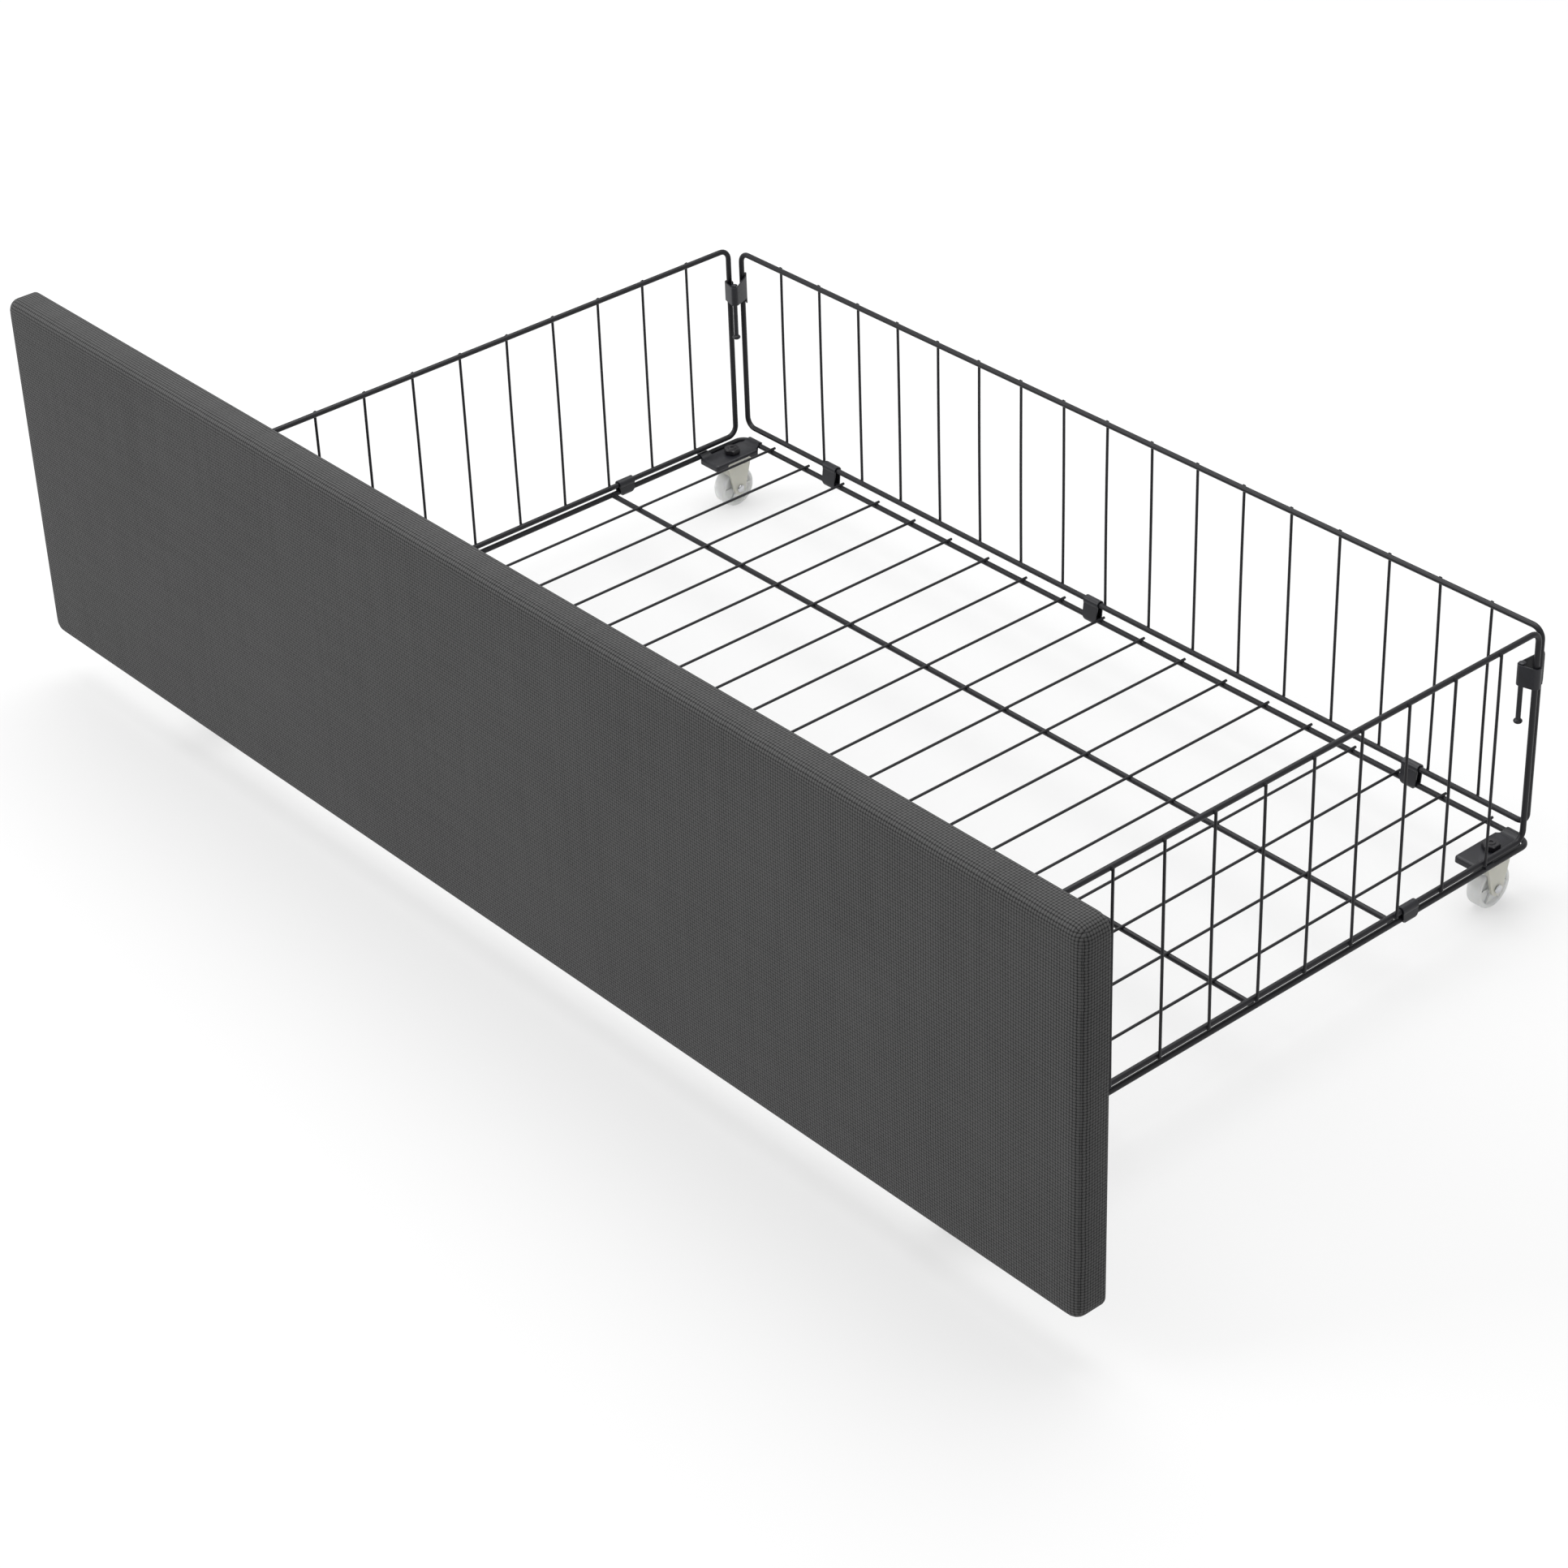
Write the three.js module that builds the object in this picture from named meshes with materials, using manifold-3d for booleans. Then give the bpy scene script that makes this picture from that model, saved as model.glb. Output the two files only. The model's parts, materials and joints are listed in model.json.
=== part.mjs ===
// Roll-out under-bed drawer: an upholstered front board carried by a folding wire basket on four
// rigid casters. Millimetres, +Z up. The board faces -Y, the basket's long side runs along X, and
// the origin is on the floor under the middle of the overall box.
import * as THREE from 'three';
import { mergeVertices } from 'three/addons/utils/BufferGeometryUtils.js';
import Module from 'manifold-3d';

const wasm = await Module();
wasm.setup();

// ---- driving dimensions -------------------------------------------------------------------
const basketWidth = 699; // base side wires, centre to centre
const basketDepth = 459; // base rear wire to base front wire, centre to centre
const frameWire = 3.6; // thick wire diameter
const gridWire = 1.8; // thin wire diameter
const weldSink = 0.4; // how far a thin wire is pressed into a thick one at a weld
const cornerRadius = 7; // bend of every thick wire frame, at the wire's centre
const gap = 0.3; // clearance between pieces that touch

const crossWireCount = 19;
const crossWireInset = 30; // outermost cross wire, in from the side wire
const crossWireOverhang = 2.8; // past the centre of the rear and front base wires
const bearerCount = 3; // lengthwise wires under the cross wires
const bearerRearGap = 117.5; // rear base wire to the first bearer
const bearerLift = 0.12; // bearers above the perimeter wire's centre

const sidePanelHeight = 139; // hinge wire to top wire, centre to centre
const sideWireCount = 11;
const sideWireRearGap = 35; // side panel's rear end wire to its first upright
const sideWireFrontGap = 31;
const backPanelHeight = 130;
const backWireCount = 17;
const panelWireOverhang = 0.8; // past the centre of the panel's top and bottom wires
const sideFoldClearance = 0.5; // folded side panel above the cross wires
const endFoldClearance = 0.4; // folded back panel above the folded side panels
const endPanelSideGap = 0.4; // back panel's end wires inside the side panels' wires
const sidePanelSetback = 7; // side panel's end wires, in from the base's end wires
const endPanelSetOut = 1; // back and front panels' plane, out from the base's end wires

const sheetThickness = 1; // clips, latches and straps
const clipWidth = 12.5;
const middleClipGap = 1.1; // middle clip's edge to the middle wire
const sideClipGap = 3.5; // side clip's edge to the bearer
const clipUprightGap = 1; // least space between a side clip and an upright
const outerClipGap = 7; // outer clips stand at the seventh wire from the middle

const latchHeight = 12.5;
const latchBelowTop = 32.7; // underside of the latch below the lower of the panels' top wires
const latchPinInboard = 8.2;
const latchPinSetback = 2.4; // pin centre, further from the end panel than the side panel's wire
const latchPinDiameter = 3;
const latchPinDrop = 28; // pin below the latch
const latchPinHeadRadius = 2.7;
const latchPinHeadHeight = 2.6;
const latchPinCrown = 0.5; // rise of the head's domed underside
const latchPinPeen = 0.7; // spread of the peened top past the pin

const wheelDiameter = 28;
const wheelWidth = 10;
const axleDiameter = 3;
const axleHeadRadius = 2.8;
const axleHeadHeight = 1.3;
const wheelTopGap = 10.5; // top of the wheel below the base wire's centre
const forkLegThickness = 2;
const forkLegClearance = 0.6; // wheel side to leg
const forkTopThickness = 2.5;
const forkTopLength = 30;
const forkTopCorner = 5.5;
const forkLegTopLength = 22.5;
const forkLegShoulder = 5; // height of the leg's steeper upper part
const forkLegEndRadius = 5;
const plateLength = 39.5;
const plateWidth = 19;
const plateThickness = 1.5;
const plateFlange = 3.4; // depth of the folded edge below the plate's top
const flangeSetIn = 0.5; // folded edge's ends in from the plate's corners
const flangeSink = 0.01; // folded edge's top below the plate's top, so that the faces don't lie together
const plateRise = 0.6; // plate's top above the base wire's centre
const stemInFromEnd = 20.5; // caster bolt from the base's end wire
const boltDiameter = 6;
const boltHeadAcross = 10;
const boltHeadHeight = 4;
const nutHeight = 3.4;
const boltStandOut = 1; // bolt end above the nut
const wheelEdgeRound = 1.6;

const boardLength = 939;
const boardHeight = 237.5;
const boardBelowBase = 5.1; // board's lower edge below the base wire's centre
const boardCoreThickness = 12;
const foamThickness = 5;
const fabricThickness = 1;
const liningThickness = 0.5;
const boardCornerRadius = 9;
const boardEdgeRound = 4;
const fabricReturn = 20; // fabric folded on to the back
const panelToBoard = 4.2; // front panel's plane to the back of the board
const liningInset = 8; // lining's edge in from the board's edge

const strapTabHeight = 18; // top of the tab above the wire it holds
const strapScrewRise = 11.5;
const strapOffsetRise = 2; // height of the joggle between the roll and the tab
const screwDiameter = 3.2;
const screwHeadRadius = 3.2;
const screwHeadHeight = 1.8;
const screwBite = 9; // into the board's core
const screwPoint = 2; // length of the screw's point
const topStrapGap = 6; // straps sit midway in this space between upright wires, from the middle
const bottomStrapGap = 4;

// ---- worked-out places ------------------------------------------------------------------------
const frameRadius = frameWire / 2;
const gridRadius = gridWire / 2;
const gridOffset = frameRadius + gridRadius - weldSink; // thick wire centre to thin wire centre
const hubDrop = wheelTopGap + wheelDiameter / 2; // axle below the base wire's centre
const floorDrop = hubDrop + wheelDiameter / 2;
const baseZ = floorDrop;
const sideHingeRise = gridOffset + gridRadius + sideFoldClearance + frameRadius;
const endHingeRise = sideHingeRise + gridOffset + gridRadius + endFoldClearance + frameRadius;
const sideX = basketWidth / 2;
const endPanelHalf = sideX - frameWire - endPanelSideGap; // passes inside the side panels as it folds
const uprightPitch = (2 * endPanelHalf) / (backWireCount + 1);
const crossWirePitch = (basketWidth - 2 * crossWireInset) / (crossWireCount - 1);
const bearerPitch = (basketDepth - bearerRearGap) / bearerCount;
const sideHalf = basketDepth / 2 - sidePanelSetback;
const lowerTop = Math.min(sideHingeRise + sidePanelHeight, endHingeRise + backPanelHeight);
const latchRise = lowerTop - latchBelowTop; // underside of the latch above the base wire
const sheetRadius = frameRadius + gap + sheetThickness / 2; // sheet's middle round a thick wire
const pinSheetRadius = latchPinDiameter / 2 + gap + sheetThickness / 2;

const liningFront = panelToBoard + liningThickness;
const returnBack = liningFront + gap;
const coreBack = returnBack + fabricThickness + gap;
const coreFront = coreBack + boardCoreThickness;
const foamBack = coreFront + gap;
const foamFront = foamBack + foamThickness;
const boardFront = foamFront + gap + fabricThickness; // all from the front panel's plane

// The overall box runs from the back panel's thin wires to the board's front, centred on Y = 0.
const overallDepth = basketDepth + 2 * endPanelSetOut + gridOffset + gridRadius + boardFront;
const rearY = overallDepth / 2 - endPanelSetOut - gridOffset - gridRadius;
const frontY = rearY - basketDepth;
const midY = (rearY + frontY) / 2;
const frontPanelY = frontY - endPanelSetOut;
const boardBottomZ = baseZ - boardBelowBase;
const boardMidZ = boardBottomZ + boardHeight / 2;

// ---- finishes ---------------------------------------------------------------------------------
const finish = (color, roughness, metalness) =>
  new THREE.MeshStandardMaterial({ color, roughness, metalness });
const blackWire = finish(0x24252a, 0.42, 0.1);
const blackSheet = finish(0x2c2e33, 0.45, 0.2);
const nylon = finish(0xe9e8e2, 0.35, 0);
const bareSteel = finish(0xb9babc, 0.25, 1);
const charcoalFabric = finish(0x4a4a4a, 0.95, 0);
const foam = finish(0xd9d5c8, 0.9, 0);
const fibreboard = finish(0x9a7b56, 0.8, 0);
const lining = finish(0x1b1b1c, 0.95, 0);

const object = new THREE.Group();

// ---- tools ------------------------------------------------------------------------------------
function toSolid(geometry) {
  const bare = geometry.clone();
  bare.deleteAttribute('normal');
  bare.deleteAttribute('uv');
  const merged = mergeVertices(bare, 1e-4);
  return new wasm.Manifold(new wasm.Mesh({
    numProp: 3,
    vertProperties: merged.attributes.position.array,
    triVerts: new Uint32Array(merged.index.array),
  }));
}

function toGeometry(solid) {
  const data = solid.getMesh();
  const geometry = new THREE.BufferGeometry();
  geometry.setAttribute('position', new THREE.BufferAttribute(data.vertProperties, 3));
  geometry.setIndex(new THREE.BufferAttribute(data.triVerts, 1));
  geometry.computeVertexNormals();
  return geometry;
}

function join(geometries) {
  return toGeometry(geometries.map(toSolid).reduce((whole, piece) => whole.add(piece)));
}

function cut(geometry, tools) {
  return toGeometry(tools.map(toSolid).reduce((whole, tool) => whole.subtract(tool), toSolid(geometry)));
}

function addPiece(name, geometry, material, parent = object) {
  const mesh = new THREE.Mesh(geometry, material);
  mesh.name = name;
  parent.add(mesh);
  return mesh;
}

// A wire's route: the corner points are hit exactly, and the section turns evenly at each.
class WireRoute extends THREE.Curve {
  constructor(points) {
    super();
    this.points = points;
  }

  getPoint(t, target = new THREE.Vector3()) {
    const index = Math.round(t * (this.points.length - 1));
    return target.copy(this.points[index]);
  }

  getPointAt(u, target) {
    return this.getPoint(u, target);
  }

  getTangentAt(u, target = new THREE.Vector3()) {
    const last = this.points.length - 1;
    const index = Math.round(u * last);
    const closed = this.points[0].distanceTo(this.points[last]) < 1e-9;
    const before = this.points[index > 0 ? index - 1 : (closed ? last - 1 : 0)];
    const here = this.points[index];
    const after = this.points[index < last ? index + 1 : (closed ? 1 : last)];
    const into = here.clone().sub(before).normalize();
    const out = after.clone().sub(here).normalize();
    return target.copy(into.add(out)).normalize();
  }

  getTangent(t, target) {
    return this.getTangentAt(t, target);
  }
}

function roundSection(radius, sides) {
  const section = new THREE.Shape();
  for (let i = 0; i < sides; i += 1) {
    const angle = (2 * Math.PI * (i + 0.5)) / sides;
    const place = [radius * Math.cos(angle), radius * Math.sin(angle)];
    if (i === 0) section.moveTo(...place);
    else section.lineTo(...place);
  }
  section.closePath();
  return section;
}

function wire(points, diameter, sides) {
  return new THREE.ExtrudeGeometry(roundSection(diameter / 2, sides), {
    steps: points.length - 1,
    bevelEnabled: false,
    extrudePath: new WireRoute(points),
  });
}

// A wire bent into a closed ring: its last point is its first, and it has no end faces.
function ringWire(points, diameter, sides) {
  const open = wire(points, diameter, sides);
  const sidesOnly = open.groups.find((group) => group.materialIndex === 1);
  const position = open.attributes.position;
  const from = sidesOnly.start * position.itemSize;
  const to = (sidesOnly.start + sidesOnly.count) * position.itemSize;
  const ring = new THREE.BufferGeometry();
  ring.setAttribute('position', new THREE.BufferAttribute(position.array.slice(from, to), 3));
  return ring;
}

function thinWire(from, to) {
  return wire([from, to], gridWire, 6);
}

function arc(centreX, centreY, radius, fromDegrees, toDegrees, steps) {
  const points = [];
  for (let i = 0; i <= steps; i += 1) {
    const angle = THREE.MathUtils.degToRad(fromDegrees + ((toDegrees - fromDegrees) * i) / steps);
    points.push(new THREE.Vector2(centreX + radius * Math.cos(angle), centreY + radius * Math.sin(angle)));
  }
  return points;
}

// A closed rectangular frame of thick wire. place() turns the flat outline's (u, v) into a point.
function wireFrame(halfU, lowV, highV, place) {
  const steps = 4;
  const inner = halfU - cornerRadius;
  const low = lowV + cornerRadius;
  const high = highV - cornerRadius;
  const outline = [
    ...arc(inner, low, cornerRadius, -90, 0, steps),
    ...arc(inner, high, cornerRadius, 0, 90, steps),
    ...arc(-inner, high, cornerRadius, 90, 180, steps),
    ...arc(-inner, low, cornerRadius, 180, 270, steps),
  ];
  outline.push(outline[0]);
  return ringWire(outline.map((p) => place(p.x, p.y)), frameWire, 8);
}

// A bent sheet: the middle line of its section, thickened and drawn out along +Z by the width.
function bentSheet(middle, width) {
  const offset = (sign) => middle.map((point, i) => {
    const before = middle[Math.max(i - 1, 0)];
    const after = middle[Math.min(i + 1, middle.length - 1)];
    const along = after.clone().sub(before).normalize();
    const normal = new THREE.Vector2(-along.y, along.x);
    return point.clone().addScaledVector(normal, (sign * sheetThickness) / 2);
  });
  const outline = new THREE.Shape([...offset(1), ...offset(-1).reverse()]);
  return new THREE.ExtrudeGeometry(outline, { depth: width, bevelEnabled: false });
}

function cylinder(radius, length, sides) {
  return new THREE.CylinderGeometry(radius, radius, length, sides);
}

function roundedRectangle(width, height, radius) {
  const x = width / 2 - radius;
  const y = height / 2 - radius;
  const steps = 4;
  return new THREE.Shape([
    ...arc(x, y, radius, 0, 90, steps),
    ...arc(-x, y, radius, 90, 180, steps),
    ...arc(-x, -y, radius, 180, 270, steps),
    ...arc(x, -y, radius, 270, 360, steps),
  ]);
}

// ---- base grid --------------------------------------------------------------------------------
// A thick perimeter wire, three thick bearers along X, and nineteen thin wires across the top.
function baseGrid() {
  const pieces = [wireFrame(sideX, frontY, rearY, (u, v) => new THREE.Vector3(u, v, baseZ))];
  for (let i = 1; i <= bearerCount; i += 1) {
    const y = frontY + i * bearerPitch;
    const z = baseZ + bearerLift;
    pieces.push(wire([new THREE.Vector3(-sideX, y, z), new THREE.Vector3(sideX, y, z)], frameWire, 8));
  }
  for (let i = 0; i < crossWireCount; i += 1) {
    const x = (i - (crossWireCount - 1) / 2) * crossWirePitch;
    const z = baseZ + gridOffset;
    pieces.push(thinWire(
      new THREE.Vector3(x, frontY - crossWireOverhang, z),
      new THREE.Vector3(x, rearY + crossWireOverhang, z),
    ));
  }
  return join(pieces);
}

// ---- wire panels ------------------------------------------------------------------------------
// Drawn with the hinge wire along X at the origin and the thin wires on the +Y side, the first of
// them startGap from the end at -X and the last endGap from the other.
function wirePanel(halfLength, height, wireCount, startGap, endGap) {
  const pieces = [wireFrame(halfLength, 0, height, (u, v) => new THREE.Vector3(u, 0, v))];
  const pitch = (2 * halfLength - startGap - endGap) / (wireCount - 1);
  for (let i = 0; i < wireCount; i += 1) {
    const x = -halfLength + startGap + i * pitch;
    pieces.push(thinWire(
      new THREE.Vector3(x, gridOffset, -panelWireOverhang),
      new THREE.Vector3(x, gridOffset, height + panelWireOverhang),
    ));
  }
  return join(pieces);
}

function addPanels() {
  const end = wirePanel(endPanelHalf, backPanelHeight, backWireCount, uprightPitch, uprightPitch);
  const left = addPiece(
    'left_panel',
    wirePanel(sideHalf, sidePanelHeight, sideWireCount, sideWireFrontGap, sideWireRearGap),
    blackWire,
  );
  left.position.set(-sideX, midY, baseZ + sideHingeRise);
  left.rotation.z = Math.PI / 2;
  const right = addPiece(
    'right_panel',
    wirePanel(sideHalf, sidePanelHeight, sideWireCount, sideWireRearGap, sideWireFrontGap),
    blackWire,
  );
  right.position.set(sideX, midY, baseZ + sideHingeRise);
  right.rotation.z = -Math.PI / 2;
  const back = addPiece('back_panel', end, blackWire);
  back.position.set(0, rearY + endPanelSetOut, baseZ + endHingeRise);
  const front = addPiece('front_panel', end, blackWire);
  front.position.set(0, frontPanelY, baseZ + endHingeRise);
  front.rotation.z = Math.PI;
}

// ---- hinge clips ------------------------------------------------------------------------------
// Drawn in a plane with the base wire at the origin, +X outward and +Y up. The sheet rises outside
// the base wire, rolls over the panel's hinge wire, runs down inside and wraps the base wire.
function hingeClip(setOut, rise) {
  const lean = THREE.MathUtils.radToDeg(Math.atan2(setOut, rise));
  const middle = [
    arc(0, 0, sheetRadius, -lean, 180 - lean, 1)[0],
    ...arc(setOut, rise, sheetRadius, -lean, 180 - lean, 9),
    ...arc(0, 0, sheetRadius, 180 - lean, 320, 7),
  ];
  return bentSheet(middle, clipWidth).translate(0, 0, -clipWidth / 2);
}

// Turns the drawn section so that its outward side faces the given way about Z.
function addUpright(name, geometry, material, x, y, z, outward) {
  const holder = new THREE.Group();
  holder.position.set(x, y, z);
  holder.rotation.z = outward;
  object.add(holder);
  const mesh = addPiece(name, geometry, material, holder);
  mesh.rotation.x = Math.PI / 2;
  return mesh;
}

// A side clip stands outside its bearer, or past an upright that would stand in its way.
function sideClipPlace(bearerY, outward) {
  const place = bearerY + outward * (frameRadius + sideClipGap + clipWidth / 2);
  const clear = clipWidth / 2 + gridRadius + clipUprightGap;
  const first = midY - sideHalf + sideWireFrontGap;
  const pitch = (2 * sideHalf - sideWireFrontGap - sideWireRearGap) / (sideWireCount - 1);
  const nearest = first + Math.round((place - first) / pitch) * pitch;
  return Math.abs(nearest - place) < clear ? nearest + outward * clear : place;
}

// The outer end clips stand between a cross wire and an upright, the middle one beside the middle
// wires, and the side clips on the end side of the outer bearers.
function addHingeClips() {
  const outer = (outerClipGap * (uprightPitch + crossWirePitch)) / 2;
  const middle = -(clipWidth / 2 + gridRadius + middleClipGap);
  const endClip = hingeClip(endPanelSetOut, endHingeRise);
  const sideClip = hingeClip(0, sideHingeRise);
  [-outer, middle, outer].forEach((x, i) => {
    addUpright(`hinge_clip_back_${i + 1}`, endClip, blackSheet, x, rearY, baseZ, Math.PI / 2);
    addUpright(`hinge_clip_front_${i + 1}`, endClip, blackSheet, x, frontY, baseZ, -Math.PI / 2);
  });
  const sideClips = [sideClipPlace(rearY - bearerRearGap, 1), sideClipPlace(frontY + bearerPitch, -1)];
  sideClips.forEach((y, i) => {
    addUpright(`hinge_clip_left_${i + 1}`, sideClip, blackSheet, -sideX, y, baseZ, Math.PI);
    addUpright(`hinge_clip_right_${i + 1}`, sideClip, blackSheet, sideX, y, baseZ, 0);
  });
}

// ---- corner latches ---------------------------------------------------------------------------
// Drawn in plan for the rear left corner, from the side panel's end wire: +X is inboard, +Y rearward.
// The sheet hooks behind the back panel's end wire, wraps the pin and closes round the side wire.
const endWire = new THREE.Vector2(sideX - endPanelHalf, sidePanelSetback + endPanelSetOut);
const pinPlace = new THREE.Vector2(latchPinInboard, -latchPinSetback);

function latchSheet() {
  const reach = pinPlace.clone().sub(endWire);
  const lean = THREE.MathUtils.radToDeg(Math.atan2(reach.x, -reach.y));
  const back = THREE.MathUtils.radToDeg(Math.atan2(pinPlace.y, pinPlace.x)) - 90;
  const middle = [
    ...arc(endWire.x, endWire.y, sheetRadius, 105, lean, 5),
    ...arc(pinPlace.x, pinPlace.y, pinSheetRadius, lean, back, 6),
    ...arc(0, 0, sheetRadius, back, -285, 8),
  ];
  return bentSheet(middle, latchHeight);
}

// A pin of round section that hangs below the latch with a domed head, peened over at the top.
function latchPin() {
  const radius = latchPinDiameter / 2;
  const low = -latchPinDrop;
  const high = latchHeight + gap;
  const profile = [
    new THREE.Vector2(0, low),
    new THREE.Vector2(latchPinHeadRadius * 0.75, low + latchPinCrown),
    new THREE.Vector2(latchPinHeadRadius, low + latchPinHeadHeight * 0.5),
    new THREE.Vector2(latchPinHeadRadius * 0.9, low + latchPinHeadHeight * 0.8),
    new THREE.Vector2(radius, low + latchPinHeadHeight),
    new THREE.Vector2(radius, high),
    new THREE.Vector2(radius + latchPinPeen, high),
    new THREE.Vector2(radius, high + latchPinPeen),
    new THREE.Vector2(0, high + latchPinPeen + 0.2),
  ];
  return new THREE.LatheGeometry(profile, 10).rotateX(Math.PI / 2);
}

// Mirrors a geometry across X or Y and turns its faces the right way out again.
function mirrored(geometry, flipX, flipY) {
  const copy = geometry.clone().applyMatrix4(new THREE.Matrix4().makeScale(flipX, flipY, 1));
  if (flipX * flipY > 0) return copy;
  if (!copy.index) {
    const count = copy.attributes.position.count;
    copy.setIndex([...Array(count).keys()]);
  }
  const index = copy.index;
  for (let i = 0; i < index.count; i += 3) {
    const first = index.getX(i);
    index.setX(i, index.getX(i + 2));
    index.setX(i + 2, first);
  }
  return copy;
}

function addLatches() {
  const sheet = latchSheet();
  const pin = latchPin().translate(pinPlace.x, pinPlace.y, 0);
  const ends = [['rear', 1, rearY - sidePanelSetback], ['front', -1, frontY + sidePanelSetback]];
  ends.forEach(([end, flipY, y]) => {
    [['left', 1], ['right', -1]].forEach(([side, flipX]) => {
      const place = [-flipX * sideX, y, baseZ + latchRise];
      addPiece(`latch_${end}_${side}`, mirrored(sheet, flipX, flipY), blackSheet).position.set(...place);
      addPiece(`latch_pin_${end}_${side}`, mirrored(pin, flipX, flipY), blackSheet).position.set(...place);
    });
  });
}

// ---- casters ----------------------------------------------------------------------------------
// Each caster is drawn round its bolt: +X outboard and +Y towards the near end of the base.
const plateOutboard = sideX - frameRadius - gap; // plate's long outer edge
const stemX = plateOutboard - plateWidth / 2;
const hubWidth = wheelWidth + 2 * (forkLegClearance + forkLegThickness);

function casterPlate() {
  const endEdge = stemInFromEnd - frameRadius - gap;
  const half = plateWidth / 2;
  const bend = cornerRadius - frameRadius - gap;
  const nearEdge = endEdge - plateLength;
  const outline = new THREE.Shape([
    new THREE.Vector2(-half, nearEdge),
    new THREE.Vector2(half, nearEdge),
    ...arc(half - bend, endEdge - bend, bend, 0, 90, 4),
    new THREE.Vector2(-half, endEdge),
  ]);
  const hole = new THREE.Path();
  hole.absarc(0, 0, boltDiameter / 2 + gap, 0, 2 * Math.PI, true);
  outline.holes.push(hole);
  const top = new THREE.ExtrudeGeometry(outline, {
    depth: plateThickness, bevelEnabled: false, curveSegments: 6,
  });
  top.translate(0, 0, plateRise - plateThickness);
  const flangeZ = plateRise - plateFlange / 2 - flangeSink;
  const flangeX = new THREE.BoxGeometry(plateThickness, plateLength - 2 * flangeSetIn, plateFlange);
  flangeX.translate(-half + plateThickness / 2, (endEdge + nearEdge) / 2, flangeZ);
  const flangeY = new THREE.BoxGeometry(plateWidth - 2 * flangeSetIn, plateThickness, plateFlange);
  flangeY.translate(0, nearEdge + plateThickness / 2, flangeZ);
  return join([top, flangeX, flangeY]);
}

const forkTop = plateRise - plateThickness - gap;

function casterFork() {
  const topWidth = plateWidth - 2 * (plateThickness + gap); // inside the plate's folded edge
  const shape = roundedRectangle(topWidth, forkTopLength, forkTopCorner);
  const hole = new THREE.Path();
  hole.absarc(0, 0, boltDiameter / 2 + gap, 0, 2 * Math.PI, true);
  shape.holes.push(hole);
  const flange = new THREE.ExtrudeGeometry(shape, {
    depth: forkTopThickness, bevelEnabled: false, curveSegments: 6,
  });
  flange.translate(0, 0, forkTop - forkTopThickness);
  const legTop = forkTop - forkTopThickness / 2;
  const leg = new THREE.Shape([
    new THREE.Vector2(-forkLegTopLength / 2, legTop),
    new THREE.Vector2(-forkLegTopLength / 2 + 1, legTop - forkLegShoulder),
    ...arc(0, -hubDrop, forkLegEndRadius, 200, 340, 6),
    new THREE.Vector2(forkLegTopLength / 2 - 1, legTop - forkLegShoulder),
    new THREE.Vector2(forkLegTopLength / 2, legTop),
  ]);
  const bore = new THREE.Path();
  bore.absarc(0, -hubDrop, axleDiameter / 2 + gap, 0, 2 * Math.PI, true);
  leg.holes.push(bore);
  // The outline is drawn in (y, z) and drawn out along x.
  const legs = [-1, 1].map((side) => {
    const solid = new THREE.ExtrudeGeometry(leg, {
      depth: forkLegThickness, bevelEnabled: false, curveSegments: 6,
    });
    solid.rotateX(Math.PI / 2).rotateZ(Math.PI / 2);
    const inner = wheelWidth / 2 + forkLegClearance;
    return solid.translate(side > 0 ? inner : -inner - forkLegThickness, 0, 0);
  });
  return join([flange, ...legs]);
}

function casterWheel() {
  const half = wheelWidth / 2;
  const radius = wheelDiameter / 2;
  const bore = axleDiameter / 2 + gap;
  const profile = [
    new THREE.Vector2(bore, -half),
    new THREE.Vector2(radius - wheelEdgeRound, -half),
    new THREE.Vector2(radius, -half + wheelEdgeRound),
    new THREE.Vector2(radius, half - wheelEdgeRound),
    new THREE.Vector2(radius - wheelEdgeRound, half),
    new THREE.Vector2(bore, half),
    new THREE.Vector2(bore, -half),
  ];
  return new THREE.LatheGeometry(profile, 20).rotateZ(Math.PI / 2).translate(0, 0, -hubDrop);
}

function casterAxle() {
  const half = hubWidth / 2 + gap;
  const radius = axleDiameter / 2;
  const profile = [
    new THREE.Vector2(0, -half - axleHeadHeight),
    new THREE.Vector2(axleHeadRadius * 0.7, -half - axleHeadHeight * 0.8),
    new THREE.Vector2(axleHeadRadius, -half),
    new THREE.Vector2(radius, -half),
    new THREE.Vector2(radius, half),
    new THREE.Vector2(axleHeadRadius, half),
    new THREE.Vector2(axleHeadRadius * 0.7, half + axleHeadHeight * 0.8),
    new THREE.Vector2(0, half + axleHeadHeight),
  ];
  return new THREE.LatheGeometry(profile, 12).rotateZ(Math.PI / 2).translate(0, 0, -hubDrop);
}

const hexRadius = boltHeadAcross / Math.sqrt(3);
const boltTop = plateRise + gap + nutHeight + boltStandOut;

function casterBolt() {
  const headTop = forkTop - forkTopThickness - gap;
  const shank = cylinder(boltDiameter / 2, boltTop - headTop + 0.1, 10).rotateX(Math.PI / 2);
  shank.translate(0, 0, (boltTop + headTop - 0.1) / 2);
  const head = cylinder(hexRadius, boltHeadHeight, 6).rotateX(Math.PI / 2);
  head.translate(0, 0, headTop - boltHeadHeight / 2);
  return join([shank, head]);
}

function casterNut() {
  const outer = cylinder(hexRadius, nutHeight, 6).rotateX(Math.PI / 2);
  const bore = cylinder(boltDiameter / 2 + gap, nutHeight + 2, 10).rotateX(Math.PI / 2);
  return cut(outer, [bore]).translate(0, 0, plateRise + gap + nutHeight / 2);
}

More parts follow.
